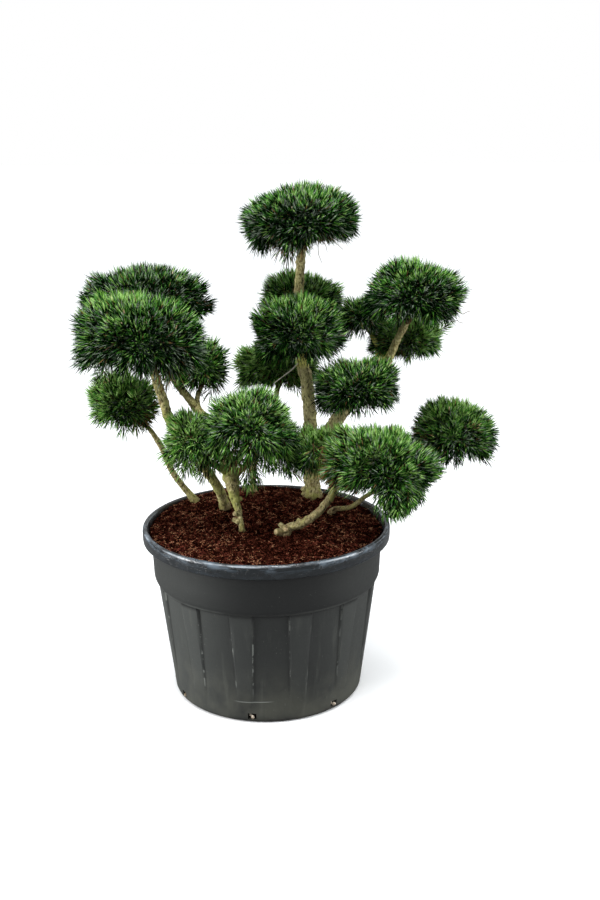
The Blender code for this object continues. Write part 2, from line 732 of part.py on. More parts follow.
def build_cushions(limb_objects, material):
    """Each cushion is its core, stem, ribs and sprays, fused by one union."""
    by_name = {limb.name: limb for limb in LIMBS}
    limb_trees = {name: mesh_tree(obj) for name, obj in limb_objects.items()}
    walls = list(limb_trees.values())
    cores = {}
    twigs = {}
    frame_trees = {}
    for number, cushion in enumerate(CUSHIONS):
        draw = random.Random(number)
        limb = by_name[cushion.bough]
        core = build_core(cushion, limb_trees, material)
        ribs = [rib for rib in rib_shapes(cushion, limb, draw) if not hits(rib, walls)]
        cores[cushion.name] = core
        twigs[cushion.name] = [stem_shape(cushion, limb), *ribs]
        frame_trees[cushion.name] = [mesh_tree(core), shape_tree(twigs[cushion.name])]
    grown = []
    for number, cushion in enumerate(CUSHIONS):
        others = [tree for name, trees in frame_trees.items() if name != cushion.name for tree in trees]
        obj = cores[cushion.name]
        for attempt in range(SEEDS_TO_TRY):
            draw = random.Random(SEED_STEP * attempt + number)
            sprays = grow_sprays(cushion, frame_trees[cushion.name][0], walls + others + grown, draw)
            tools = [place_tool(shape) for shape in twigs[cushion.name] + sprays]
            if combined(obj, "UNION", tools):
                break
        grown.append(mesh_tree(obj))


def main():
    clear_scene()
    plastic = make_material("pot_plastic", (0.045, 0.052, 0.055), 0.42)
    coir = make_material("coir", (0.10, 0.030, 0.014), 0.95)
    bark = make_material("bark", (0.20, 0.17, 0.09), 0.90)
    needle = make_material("needle_green", (0.045, 0.13, 0.03), 0.60)
    build_pot(plastic)
    build_soil(coir)
    limbs = build_limbs(bark)
    build_cushions(limbs, needle)


main()
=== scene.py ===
# %% [markdown]
# # A cloud-pruned mugo pine in its pot
#
# The real thing is a pine with several stems. A grower has clipped its shoots into domes of
# needles, one at the end of each bough, and it stands in a big black tub full of bark and coir.
#
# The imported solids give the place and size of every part. Each part gets a finer skin here: a
# turned and fluted pot, loose substrate, bark with rings and moss, and many needles on twigs.

# %% Load the solids
import json
import math

import bpy
import numpy as np
from mathutils import Matrix, Vector, noise

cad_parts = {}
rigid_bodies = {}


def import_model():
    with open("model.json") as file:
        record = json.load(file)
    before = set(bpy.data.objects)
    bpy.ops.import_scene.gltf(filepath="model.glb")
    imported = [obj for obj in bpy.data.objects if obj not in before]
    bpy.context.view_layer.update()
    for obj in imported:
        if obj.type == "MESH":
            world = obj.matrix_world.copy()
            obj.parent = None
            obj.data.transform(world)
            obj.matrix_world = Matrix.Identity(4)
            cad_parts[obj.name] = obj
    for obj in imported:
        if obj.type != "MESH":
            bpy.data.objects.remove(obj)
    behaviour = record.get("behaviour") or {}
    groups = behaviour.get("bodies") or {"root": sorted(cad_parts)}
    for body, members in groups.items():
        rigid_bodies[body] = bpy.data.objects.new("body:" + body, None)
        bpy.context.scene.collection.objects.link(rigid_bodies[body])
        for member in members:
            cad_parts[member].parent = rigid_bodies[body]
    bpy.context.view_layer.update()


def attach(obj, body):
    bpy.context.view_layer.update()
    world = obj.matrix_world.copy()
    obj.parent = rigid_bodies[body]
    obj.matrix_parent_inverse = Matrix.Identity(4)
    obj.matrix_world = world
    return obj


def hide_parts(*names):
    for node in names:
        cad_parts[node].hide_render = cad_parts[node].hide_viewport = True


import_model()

# %% [markdown]
# ## Camera
#
# A photograph fixes where its camera stood: the ellipses of the pot's rim and foot give the
# height, and the marks on the rule beside the plant give the distance. The lens is long enough
# that the pot hardly spreads. The camera could be aimed with a constraint. A position and two
# turns are plainer, and they stay the same on every run.

# %% Place the camera
CAMERA_PLACE = (0.119, -3.775, 1.926)
CAMERA_DOWN = 15.76
CAMERA_ROLL = -0.31
CAMERA_SENSOR = 36.0
LENS_IN_PIXELS = 1141.0
PICTURE_LONG_SIDE = 900.0


def placed(name, data):
    """A new object in the scene."""
    made = bpy.data.objects.new(name, data)
    bpy.context.scene.collection.objects.link(made)
    return made


camera_data = bpy.data.cameras.new("camera")
camera_data.sensor_width = CAMERA_SENSOR
camera_data.lens = LENS_IN_PIXELS / PICTURE_LONG_SIDE * CAMERA_SENSOR
camera = placed("camera", camera_data)
tilt = Matrix.Rotation(math.radians(90 - CAMERA_DOWN), 4, "X")
roll = Matrix.Rotation(math.radians(CAMERA_ROLL), 4, "Z")
camera.matrix_world = Matrix.Translation(CAMERA_PLACE) @ tilt @ roll
bpy.context.scene.camera = camera
print("Lens:", round(camera_data.lens, 1), "mm")

# %% [markdown]
# ## Shader sums
#
# A finish is a small graph of nodes. Written out node by node it is long and hard to read, so
# one class wraps an output and lets the usual signs add Math nodes. A second class adds any
# node from its kind, its settings and what goes into its sockets, and a third is a material.
# Two sorts of finish come up again and again, so they are functions.

# %% Classes for shader graphs, and a few helpers
def signed(operation, other_first=False):
    """What a sign such as + or - does: it adds one Math node."""
    def method(self, other):
        pair = (other, self) if other_first else (self, other)
        return self.math(operation, *pair)
    return method


class Wire:
    """A number that changes over the surface, so that + - and * can be written with it."""

    def __init__(self, tree, socket):
        self.tree = tree
        self.socket = socket

    def math(self, operation, *values):
        """A Math node with these wires or plain numbers in its sockets."""
        made = self.tree.nodes.new("ShaderNodeMath")
        made.operation = operation
        for socket, value in zip(made.inputs, values):
            if isinstance(value, Wire):
                self.tree.links.new(value.socket, socket)
            else:
                socket.default_value = value
        return Wire(self.tree, made.outputs[0])

    def size(self):
        """The number without its sign."""
        return self.math("ABSOLUTE", self)

    __add__, __radd__ = signed("ADD"), signed("ADD", True)
    __sub__, __rsub__ = signed("SUBTRACT"), signed("SUBTRACT", True)
    __mul__, __rmul__ = signed("MULTIPLY"), signed("MULTIPLY", True)
    or_more = signed("MAXIMUM")


class Graph:
    """A tree of nodes, and short ways to add to it."""

    def __init__(self, tree):
        self.tree = tree

    def feed(self, socket, value):
        """Links a wire to a socket, or sets a plain number, vector or colour on it."""
        if isinstance(value, Wire):
            self.tree.links.new(value.socket, socket)
        elif socket.type == "RGBA":
            socket.default_value = (*value, 1.0)
        else:
            socket.default_value = value

    def node(self, kind, values, settings=None, out=0):
        made = self.tree.nodes.new(kind)
        for key, value in (settings or {}).items():
            setattr(made, key, value)
        for key, value in values.items():
            self.feed(made.inputs[key], value)
        return Wire(self.tree, made.outputs[out])

    def seen_as(self, bounced, seen):
        """One shader for the light that bounces, and another for what the camera sees."""
        ray = self.node("ShaderNodeLightPath", {}, out="Is Camera Ray")
        shader = self.node("ShaderNodeMixShader", {0: ray, 1: bounced, 2: seen})
        ends = [node for node in self.tree.nodes if node.type.startswith("OUTPUT")]
        self.feed(ends[0].inputs[0], shader)


class Finish(Graph):
    """One material. Dark earth has no gloss, because it would lie on it as a grey veil."""

    def __init__(self, name, roughness=0.5, gloss=0.5):
        self.material = bpy.data.materials.new(name)
        self.material.use_nodes = True
        super().__init__(self.material.node_tree)
        self.inputs = self.tree.nodes["Principled BSDF"].inputs
        self.inputs["Roughness"].default_value = roughness
        self.inputs["Specular IOR Level"].default_value = gloss

    def spot(self):
        """The place on the object, in metres."""
        return self.node("ShaderNodeTexCoord", {}, out="Object")

    def axes(self):
        """The place as three numbers: east, north and height."""
        return [self.node("ShaderNodeSeparateXYZ", {0: self.spot()}, out=axis) for axis in "XYZ"]

    def clouds(self, scale, detail=3.0, roughness=0.55, distortion=0.0):
        """Noise. A scale with three numbers stretches it along the axes."""
        place = self.spot()
        if isinstance(scale, tuple):
            settings = {"operation": "MULTIPLY"}
            place = self.node("ShaderNodeVectorMath", {0: place, 1: scale}, settings)
            scale = 1.0
        values = {"Vector": place, "Scale": scale, "Detail": detail, "Roughness": roughness}
        return self.node("ShaderNodeTexNoise", {**values, "Distortion": distortion}, out="Fac")

    def between(self, value, low, high):
        """0 below low and 1 above high, smooth between them. High may be less than low."""
        values = {"Value": value, "From Min": low, "From Max": high}
        return self.node("ShaderNodeMapRange", values, {"interpolation_type": "SMOOTHSTEP"})

    def blend(self, share, first, second):
        """A colour between two colours."""
        return self.node("ShaderNodeMix", {0: share, 6: first, 7: second}, {"data_type": "RGBA"}, 2)

    def layered(self, ground, *layers):
        """A ground colour with tones over it, each by its own share."""
        for share, tone in layers:
            ground = self.blend(share, ground, tone)
        return ground

    def ramp(self, value, *stops):
        """Colours at places from 0 to 1, and blends between."""
        made = self.node("ShaderNodeValToRGB", {"Fac": value})
        elements = made.socket.node.color_ramp.elements
        while len(elements) < len(stops):
            elements.new(0.5)
        for element, (position, colour) in zip(elements, stops):
            element.position = position
            element.color = (*colour, 1.0)
        return made

    def colour(self, value):
        self.feed(self.inputs["Base Color"], value)

    def bump(self, height, distance, strength=1.0):
        values = {"Height": height, "Distance": distance, "Strength": strength}
        self.feed(self.inputs["Normal"], self.node("ShaderNodeBump", values))


def mottled(name, dark, pale, roughness, gloss, scale, detail, grain, deep, strong):
    """A finish of spots in two tones, with a fine grain that stands out."""
    made = Finish(name, roughness, gloss)
    made.colour(made.ramp(made.clouds(scale, detail), (0.3, dark), (0.7, pale)))
    made.bump(made.clouds(grain), deep, strong)
    return made


def two_tone(name, dark, pale, scale, roughness=0.85, gloss=0.0, soft=0.12):
    """A plain finish that wanders between two tones."""
    made = Finish(name, roughness, gloss)
    share = made.between(made.clouds(scale, 2.0), 0.5 - soft, 0.5 + soft)
    made.colour(made.blend(share, dark, pale))
    return made


def smooth(value, low, high):
    """0 below low, 1 above high and smooth between, for a number or an array."""
    share = np.clip((value - low) / (high - low), 0.0, 1.0)
    return share * share * (3 - 2 * share)


def unit(ways):
    """The same ways, one long each."""
    return ways / np.maximum(np.linalg.norm(ways, axis=-1, keepdims=True), 1e-9)


print("A sum such as 1 - mask adds one Math node")

# %% [markdown]
# ## Floor and light
#
# The plant stands on a plain pale floor, in soft light from above as under an overcast sky. A
# pine's needles shade each other, so the tops of the domes are bright and the undersides go
# almost black. A white floor would spoil that, because it throws as much light up as it gets.
# So the floor is white to the camera and dull to the light that bounces off it, and the sky is
# bright overhead and dim near the horizon.

# %% Floor, sky and lamps
FLOOR_HALF = 60.0
FLOOR_TONES = (0.97, 0.99)
FLOOR_BOUNCE = 0.17
SKY_LOW = 0.28
SKY_HIGH = 1.75
SKY_TINT = (0.95, 0.98, 1.0)
WHITE = (1.0, 1.0, 1.0)


def piece_from(name, points, faces, finishes, which=0, rounded=True):
    """A new mesh piece. which says for each face, or for all, which of the finishes it has."""
    mesh = bpy.data.meshes.new(name)
    mesh.from_pydata(points, [], faces)
    for finish in finishes:
        mesh.materials.append(finish.material)
    kinds = np.broadcast_to(which, len(mesh.polygons)).astype(np.int32)
    mesh.polygons.foreach_set("material_index", kinds)
    mesh.polygons.foreach_set("use_smooth", np.full(len(mesh.polygons), rounded))
    return placed(name, mesh)


def lamp(name, place, aim, size, power):
    data = bpy.data.lights.new(name, "AREA")
    data.shape = "DISK"
    data.size = size
    data.energy = power
    turn = (Vector(aim) - Vector(place)).to_track_quat("-Z", "Y").to_matrix().to_4x4()
    placed(name, data).matrix_world = Matrix.Translation(place) @ turn


ground = Finish("floor", 0.9)
tones = [(place, (tone, tone, tone)) for place, tone in enumerate(FLOOR_TONES)]
ground.colour(ground.ramp(ground.clouds(1.5), *tones))
dull = ground.node("ShaderNodeBsdfDiffuse", {"Color": (FLOOR_BOUNCE,) * 3})
ground.seen_as(dull, Wire(ground.tree, ground.tree.nodes["Principled BSDF"].outputs[0]))
corners = [(x * FLOOR_HALF, y * FLOOR_HALF, 0.0) for x, y in ((-1, -1), (1, -1), (1, 1), (-1, 1))]
floor = piece_from("floor", corners, [(0, 1, 2, 3)], [ground], rounded=False)

world = bpy.data.worlds.new("sky")
world.use_nodes = True
world.node_tree.nodes.remove(world.node_tree.nodes["Background"])
bpy.context.scene.world = world
sky = Graph(world.node_tree)
place = sky.node("ShaderNodeTexCoord", {}, out="Generated")
rise = sky.node("ShaderNodeSeparateXYZ", {0: place}, out="Z")
strength = sky.node("ShaderNodeMapRange", {"Value": rise, "To Min": SKY_LOW, "To Max": SKY_HIGH})
light = sky.node("ShaderNodeBackground", {"Color": SKY_TINT, "Strength": strength})
sky.seen_as(light, sky.node("ShaderNodeBackground", {"Color": WHITE, "Strength": 1.0}))

lamp("lamp_above", (0.2, -1.1, 4.4), (0.0, 0.1, 0.9), 1.8, 130)
lamp("lamp_left", (-3.8, -1.3, 1.5), (0.0, 0.0, 0.6), 1.6, 150)
lamp("lamp_right", (3.7, -0.9, 1.5), (0.2, 0.0, 0.7), 1.6, 70)
bpy.context.scene.view_settings.view_transform = "Standard"

# %% [markdown]
# ## The pot's plastic
#
# The tub is blow-moulded charcoal, and it has been outside for years. Rain has left dust low
# down, the ribs are scraped pale, and the rolled rim is rubbed glossy. Light and shade are painted
# on too: a grey sheen on the flanks, paler ribs, a blue reflection and a bright line on the rim,
# and shade in the panels beside the ribs, under the ledge, on the collar and inside the mouth. An
# image could hold such marks, but it would need a layout and would blur close by. Noise that is
# stretched up the wall or kept to the ribs gives marks at any distance.

# %% Sizes of the pot, and its plastic
POT_HEIGHT = 0.603
BASE_RADIUS = 0.334
LEDGE_RADIUS = 0.384
COLLAR_RADIUS = 0.396
COLLAR_TOP_RADIUS = 0.401
RIM_RADIUS = 0.431
MOUTH_RADIUS = 0.412
LEDGE_HEIGHT = 0.412
RIM_BOTTOM = 0.555
FOOT_ROUND = 0.019
POT_WALL = 0.005
PANELS = 12
PANEL_TURN = math.radians(3.5)
PANEL_SHARE = 0.60
PANEL_SPREAD = 0.30
PANEL_SINK = 0.010
PANEL_FADE_LOW = 0.045
SCUFF_HEIGHT = 0.083
# The grey of the painted sheen on the flanks.
SHEEN_TONE = (0.115, 0.124, 0.113)

plastic = Finish("pot_plastic", 0.5, 0.62)
fade = plastic.between
cloud = plastic.clouds
east, north, height = plastic.axes()
panel = (north.math("ARCTAN2", north, east) + (math.pi / 2 - PANEL_TURN)) * (PANELS / (2 * math.pi))
place = panel.math("FRACT", panel + 20.5)
rib_side = (place - 0.5).size() - PANEL_SHARE / 2 - (LEDGE_HEIGHT - height) * (PANEL_SPREAD / 2)
on_wall = fade(height, LEDGE_HEIGHT + 0.004, LEDGE_HEIGHT - 0.004)
on_ribs = fade(height, 0.07, 0.16) * on_wall
on_rim = fade(height, RIM_BOTTOM - 0.002, RIM_BOTTOM + 0.004)

# The two flanks are painted paler than the front, a painted sheen for the light they reflect at a
# grazing angle. Dust lies low.
flank_sheen = (fade(east, -0.02, -0.34) * 0.32).or_more(fade(east, 0.15, 0.34) * 0.22)
streaks = cloud((34.0, 34.0, 2.2), 4.0, 0.6)
dust = fade(height, 0.26, 0.0) * fade(cloud(9.0, 5.0), 0.30, 0.66)
# Painted shade: the panels are darker beside the ribs and just under the ledge.
rib_edge_shade = fade(rib_side, -0.060, -0.014) * fade(rib_side, 0.004, -0.008) * on_ribs
ledge_shade = fade(height, LEDGE_HEIGHT - 0.016, LEDGE_HEIGHT - 0.005) * on_wall
# Painted shade: the collar under the rim is darker than the wall, and on the flanks it takes some of the
# painted sheen.
collar = fade(height, LEDGE_HEIGHT + 0.002, LEDGE_HEIGHT + 0.010) * 0.95

# Pale marks: scrapes along the ribs, scratches, a scuffed line low in front, and the ledge.
rubbed = fade(rib_side.size(), 0.018, 0.003) * fade(cloud(30.0, 5.0), 0.49, 0.57)
scraped = rubbed * fade(cloud(6.0, 2.0), 0.43, 0.51) * on_ribs * (fade(east, 0.06, -0.04) * 0.65 + 0.35)
scratched = fade(cloud((230.0, 230.0, 7.0), 2.0, 0.5), 0.735, 0.77) * fade(cloud(11.0), 0.54, 0.62)
scuff = fade((height - east * 0.03 - SCUFF_HEIGHT).size(), 0.0026, 0.0008) * fade(north, 0.0, -0.1)
scuff = scuff * fade(east, -0.115, -0.075) * fade(east, 0.035, 0.000)
ledge_edge = fade((height - LEDGE_HEIGHT - 0.004).size(), 0.0060, 0.0015) * fade(cloud(6.0), 0.40, 0.60)
marks = scraped.or_more(scratched * on_wall * 0.7).or_more(scuff).or_more(ledge_edge * 0.22)
flecks = fade(cloud(170.0, 2.0), 0.70, 0.76) * fade(cloud(6.0), 0.45, 0.6)

wall = plastic.layered(
    plastic.blend(cloud(7.0, 4.0), (0.0108, 0.0121, 0.0114), (0.0242, 0.0264, 0.0245)),
    (flank_sheen, SHEEN_TONE),
    (fade(streaks, 0.50, 0.78) * 0.45, (0.085, 0.089, 0.076)),
    (dust * 0.46, (0.120, 0.120, 0.090)),
    # Painted light: the ribs are a little paler than the panels.
    (fade(rib_side, -0.01, 0.03) * on_ribs * 0.13, (0.105, 0.112, 0.105)),
    ((rib_edge_shade * 0.60).or_more(ledge_shade * 0.85), (0.009, 0.010, 0.009)),
    (collar, plastic.blend(flank_sheen * 0.6, (0.0040, 0.0048, 0.0046), SHEEN_TONE)),
    (marks * 0.50, (0.32, 0.34, 0.31)),
    (flecks * 0.40, (0.30, 0.31, 0.27)),
)

# The rim has a painted blue reflection in patches, most towards its top, a painted highlight line
# on top, and painted shade inside the mouth and at the back.
rim_dark = fade(cloud(75.0, 5.0, 0.7, 0.6), 0.53, 0.63)
rim_high = fade(height, RIM_BOTTOM + 0.022, POT_HEIGHT - 0.009)
rim_reflection = fade(cloud((14.0, 14.0, 60.0), 4.0, 0.6), 0.42, 0.72) * (rim_high * 0.84 + 0.13)
rim_highlight = fade((height - POT_HEIGHT + 0.0045).size(), 0.0032, 0.0008) * fade(cloud(8.0, 5.0), 0.44, 0.60)
mouth_shade = fade(east * east + north * north, 0.1705, 0.1680)
rim = plastic.layered(
    (0.0085, 0.011, 0.013),
    (rim_reflection, (0.115, 0.145, 0.175)),
    (rim_dark * 0.85, (0.005, 0.006, 0.007)),
    (rim_highlight * 0.60, (0.42, 0.47, 0.52)),
    ((mouth_shade * 0.85).or_more(fade(north, 0.02, 0.20) * 0.94), (0.006, 0.0055, 0.005)),
)
plastic.colour(plastic.blend(on_rim, wall, rim))
dullness = 0.42 + cloud(60.0, 4.0) * 0.20 + marks * 0.2 + dust * 0.25 - on_rim * 0.30
plastic.feed(plastic.inputs["Roughness"], dullness)
plastic.bump(cloud(320.0, 3.0) * 0.5 + streaks * 0.5 - marks * 0.8 + rim_dark * on_rim, 0.0010, 0.5)
print("Panels of the wall:", PANELS, "each", round(PANEL_SHARE * 360 / PANELS, 1), "degrees wide")

# %% [markdown]
# ## The pot's shape
#
# The tub is a body of revolution but for its twelve sunken panels. It could be turned from a
# profile by a Screw modifier, and then the panels would have to be cut. A grid in code that goes
# round and up is simpler: each ring has its radius and height, and the panels pull it in.

# %% Turn the pot and sink its panels
POT_SIDES = 360
PANEL_SOFT = 0.035
WAVE = 0.0006
FOOT_STEPS = 6
WALL_STEPS = 21
RIM_STEPS = 7
RIM_ROUND = 0.012
HOLES = 7
HOLE_TURN = math.radians(-98)
HOLE_SIZE = Vector((0.060, 0.029, 0.023))
HOLE_HEIGHT = 0.0255
FLOOR_THICK = 0.006
FLOOR_MIDDLE = 0.04


def wall_radius(z):
    share = (z - FOOT_ROUND) / (LEDGE_HEIGHT - FOOT_ROUND)
    return BASE_RADIUS + (LEDGE_RADIUS - BASE_RADIUS) * share


def inner_radius(z):
    """The inside is a plain cone below the collar, and it follows the collar above."""
    low = wall_radius(min(z, LEDGE_HEIGHT)) - PANEL_SINK - POT_WALL
    collar = COLLAR_RADIUS - POT_WALL
    share = smooth(z, LEDGE_HEIGHT, LEDGE_HEIGHT + 0.036)
    mouth = smooth(z, RIM_BOTTOM, POT_HEIGHT)
    return low + (collar - low) * share + (MOUTH_RADIUS - collar) * mouth


def pot_profile():
    """Rows of radius, height and how deep the panels are there."""
    rows = [(FLOOR_MIDDLE, 0.004, 0), (BASE_RADIUS - 0.05, 0.004, 0), (BASE_RADIUS - 0.035, 0.0, 0)]
    for step in range(FOOT_STEPS + 1):
        angle = math.pi / 2 * step / FOOT_STEPS
        low = BASE_RADIUS - FOOT_ROUND
        rows.append((low + FOOT_ROUND * math.sin(angle), FOOT_ROUND * (1 - math.cos(angle)), 0))
    for step in range(1, WALL_STEPS + 1):
        z = FOOT_ROUND + (LEDGE_HEIGHT - 0.003 - FOOT_ROUND) * step / WALL_STEPS
        deep = max(0.0, (z - PANEL_FADE_LOW) / (LEDGE_HEIGHT - PANEL_FADE_LOW)) ** 0.6
        rows.append((wall_radius(z), z, PANEL_SINK * deep))
    for out, up in ((0.0005, -0.002), (0.003, 0), (0.0062, 0.005), (0.0098, 0.013)):
        rows.append((LEDGE_RADIUS + out, LEDGE_HEIGHT + up, 0))
    rows += [(COLLAR_RADIUS, LEDGE_HEIGHT + 0.022, 0), (COLLAR_RADIUS + 0.002, 0.480, 0)]
    rows += [(COLLAR_TOP_RADIUS, RIM_BOTTOM - 0.004, 0), (COLLAR_TOP_RADIUS + 0.001, RIM_BOTTOM, 0)]
    for back, up in ((0.005, -0.001), (0.001, 0.003), (0, 0.012)):
        rows.append((RIM_RADIUS - back, RIM_BOTTOM + up, 0))
    middle, half = (RIM_RADIUS + MOUTH_RADIUS) / 2, (RIM_RADIUS - MOUTH_RADIUS) / 2
    for step in range(RIM_STEPS + 1):
        angle = math.pi * step / RIM_STEPS
        up = POT_HEIGHT - RIM_ROUND + RIM_ROUND * math.sin(angle)
        rows.append((middle + half * math.cos(angle), up, 0))
    rows += [(inner_radius(z), z, 0) for z in (0.570, 0.555, 0.500, 0.448, 0.430, LEDGE_HEIGHT, 0.2)]
    return rows + [(inner_radius(FOOT_ROUND), FLOOR_THICK, 0), (FLOOR_MIDDLE, FLOOR_THICK, 0)]


def strips(rings, sides):
    """Faces with four corners between the rings of a skin, each from its lower left corner."""
    low = np.arange(rings - 1)[:, None] * sides
    here = np.arange(sides)[None]
    after = (here + 1) % sides
    corners = [low + here, low + after, low + sides + after, low + sides + here]
    return np.stack(corners, 2).reshape(-1, 4)


def pot_shape():
    """The profile turned round the upright axis, with the panels sunk and the wall a little uneven."""
    angles = np.arange(POT_SIDES) * 2 * math.pi / POT_SIDES
    place = ((angles + math.pi / 2 - PANEL_TURN) / (2 * math.pi / PANELS) + 0.5) % 1 - 0.5
    rows = pot_profile()
    points = []
    for radius, z, deep in rows:
        share = PANEL_SHARE + (LEDGE_HEIGHT - z) * PANEL_SPREAD
        sunk = 1 - smooth(np.abs(place), (share - PANEL_SOFT) / 2, (share + PANEL_SOFT) / 2)
        wave = WAVE * np.sin(3 * angles + 1.0) * smooth(z, 0.1, 0.4)
        reach = radius - deep * sunk + wave
        ring = [reach * np.cos(angles), reach * np.sin(angles), np.full(POT_SIDES, z)]
        points += np.column_stack(ring).tolist()
    last = len(points) - POT_SIDES
    faces = strips(len(rows), POT_SIDES).tolist()
    return points, faces + [list(range(POT_SIDES))[::-1], list(range(last, len(points)))]


def hole_matrix(hole):
    angle = HOLE_TURN + hole * 2 * math.pi / HOLES
    move = Matrix.Translation((BASE_RADIUS - FLOOR_THICK, 0.0, HOLE_HEIGHT))
    return Matrix.Rotation(angle, 4, "Z") @ move


def hole_cutter(hole):
    """A box outside the scene's own collection, for a Boolean to use."""
    signs = [(x, y, z) for z in (-0.5, 0.5) for y in (-0.5, 0.5) for x in (-0.5, 0.5)]
    points = [hole_matrix(hole) @ (Vector(sign) * HOLE_SIZE) for sign in signs]
    faces = [(0, 2, 3, 1), (4, 5, 7, 6), (0, 1, 5, 4), (2, 6, 7, 3), (0, 4, 6, 2), (1, 3, 7, 5)]
    mesh = bpy.data.meshes.new("hole")
    mesh.from_pydata(points, [], faces)
    return bpy.data.objects.new("hole", mesh)


pot = piece_from("pot_tub", *pot_shape(), [plastic])
group = bpy.data.collections.new("hole_cutters")
for hole in range(HOLES):
    group.objects.link(hole_cutter(hole))
cut = pot.modifiers.new("holes", "BOOLEAN")
cut.operand_type = "COLLECTION"
cut.collection = group
cut.solver = "EXACT"
done = bpy.data.meshes.new_from_object(pot.evaluated_get(bpy.context.evaluated_depsgraph_get()))
pot.modifiers.clear()
pot.data = done
for cutter in list(group.objects):
    bpy.data.objects.remove(cutter)
bpy.data.collections.remove(group)
pot.data.set_sharp_from_angle(angle=math.radians(38))
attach(pot, "root")
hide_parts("pot")
print("The pot has", len(pot.data.polygons), "faces")

# %% [markdown]
# ## Pebbles in the drain holes
#
# A pale stone or two has washed into each drain hole. They are too small for a sculpted mesh,
# so each is a coarse ball whose points are pushed about by noise.

# %% Put pebbles in the holes
LUMP_RINGS = 6
LUMP_SIDES = 9
LUMP_ROUGH = 0.22
PEBBLES = (((0.004, 0.002, -0.003), 0.0075), ((-0.004, -0.007, 0.001), 0.0060))

stone = mottled("pale_stone", (0.20, 0.15, 0.10), (0.62, 0.55, 0.46), 0.8, 0.0, 90.0, 3.0, 400.0,
                0.001, 0.4)


def lump(middle, size, draw):
    """A closed uneven ball: points and faces."""
    seed = Vector(draw.uniform(-50, 50, 3))
    points = []
    for ring in range(1, LUMP_RINGS):
        polar = math.pi * ring / LUMP_RINGS
        for side in range(LUMP_SIDES):
            angle = 2 * math.pi * side / LUMP_SIDES
            flat = math.sin(polar)
            way = Vector((flat * math.cos(angle), flat * math.sin(angle), math.cos(polar)))
            grow = 1 + LUMP_ROUGH * noise.noise(way * 1.3 + seed)
            points.append(middle + Vector([w * s * grow for w, s in zip(way, size)]))
    top, bottom = len(points), len(points) + 1
    points += [middle + Vector((0, 0, size[2])), middle - Vector((0, 0, size[2]))]
    faces = strips(LUMP_RINGS - 1, LUMP_SIDES)[:, [0, 3, 2, 1]].tolist()
    last = top - LUMP_SIDES
    for side in range(LUMP_SIDES):
        after = (side + 1) % LUMP_SIDES
        faces += [(side, after, top), (last + after, last + side, bottom)]
    return points, faces


def gathered(shapes):
    """Many points-and-faces shapes as one."""
    points, faces = [], []
    for shape_points, shape_faces in shapes:
        start = len(points)
        points += list(shape_points)
        faces += [tuple(start + i for i in face) for face in shape_faces]
    return points, faces


draw = np.random.default_rng(11)
stones = []
for hole in range(HOLES):
    for spot, size in PEBBLES:
        grow = [size * draw.uniform(0.8, 1.15) for _ in range(3)]
        stones.append(lump(hole_matrix(hole) @ Vector(spot), grow, draw))
pebbles = piece_from("hole_pebbles", *gathered(stones), [stone])
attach(pebbles, "root")
print("Pebbles:", len(stones))

# %% [markdown]
# ## Substrate
#
# The pot is filled with ground coir and bark. It is red brown, fluffy and clumped, and it lies
# almost level with the rim, but for a dip along the wall at one side. A displaced sheet alone
# looks like clay, so thousands of crumbs and fibres lie on it, which catch the light.

# %% Model the substrate
SOIL_TOP = 0.592
SOIL_RINGS = 104
SOIL_SIDES = 320
SOIL_CLEAR = 0.0015
CLUMPS = ((14.0, 0.0070), (38.0, 0.0075), (95.0, 0.0065))

coir = Finish("coir", 0.92, 0.0)
coir.colour(coir.ramp(coir.clouds(70.0, 6.0, 0.75), (0.36, (0.0020, 0.0004, 0.0002)),
                      (0.50, (0.011, 0.0028, 0.0016)), (0.62, (0.028, 0.0075, 0.0042)),
                      (0.78, (0.080, 0.025, 0.015))))
coir.bump(coir.clouds(260.0, 5.0, 0.7), 0.004, 0.9)


def soil_height(x, y):
    """How high the substrate lies: a little higher at the back, lower at one side, and clumped."""
    radius = math.hypot(x, y)
    towards = (0.80 * x + 0.60 * y) / max(radius, 1e-6)
    low_side = smooth(towards, 0.62, 0.95) * smooth(radius, 0.28, 0.40)
    level = SOIL_TOP - 0.003 + 0.011 * smooth(y, 0.10, 0.34) - 0.009 * low_side
    level -= 0.003 * smooth(radius, 0.36, 0.40) * smooth(y, 0.2, 0.0)
    bumps = sum(size * noise.noise(Vector((x * scale, y * scale, scale))) for scale, size in CLUMPS)
    return level + bumps * (1 - 0.6 * smooth(radius, 0.37, 0.405))


def soil_shape():
    wall = float(inner_radius(0.588)) - SOIL_CLEAR
    rings = [(wall * (ring / SOIL_RINGS) ** 0.9, None) for ring in range(1, SOIL_RINGS + 1)]
    for z in (0.555, 0.448, LEDGE_HEIGHT, FLOOR_THICK + 0.0005):
        rings.append((float(inner_radius(max(z, FOOT_ROUND))) - SOIL_CLEAR, z))
    points = []
    for radius, z in rings:
        for side in range(SOIL_SIDES):
            angle = 2 * math.pi * side / SOIL_SIDES
            x, y = radius * math.cos(angle), radius * math.sin(angle)
            points.append((x, y, soil_height(x, y) if z is None else z))
    hub = len(points)
    points.append((0.0, 0.0, soil_height(0.0, 0.0)))
    faces = strips(len(rings), SOIL_SIDES)[:, [0, 3, 2, 1]].tolist()
    faces += [(side, (side + 1) % SOIL_SIDES, hub) for side in range(SOIL_SIDES)]
    faces.append(list(range(hub - SOIL_SIDES, hub))[::-1])
    return points, faces


soil = piece_from("substrate_bed", *soil_shape(), [coir])
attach(soil, "root")
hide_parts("soil")
print("The bed's highest point:", round(max(v.co.z for v in soil.data.vertices), 4))

# %% [markdown]
# ## Crumbs and fibres on the substrate
#
# Ground coir is short orange brown fibre, and between it lie dark crumbs of bark. A hair system
# could strew them, but plain mesh pieces also reach the exported model. A crumb is a short
# spindle of six faces, and a fibre is two thin ones end to end with a bend between.

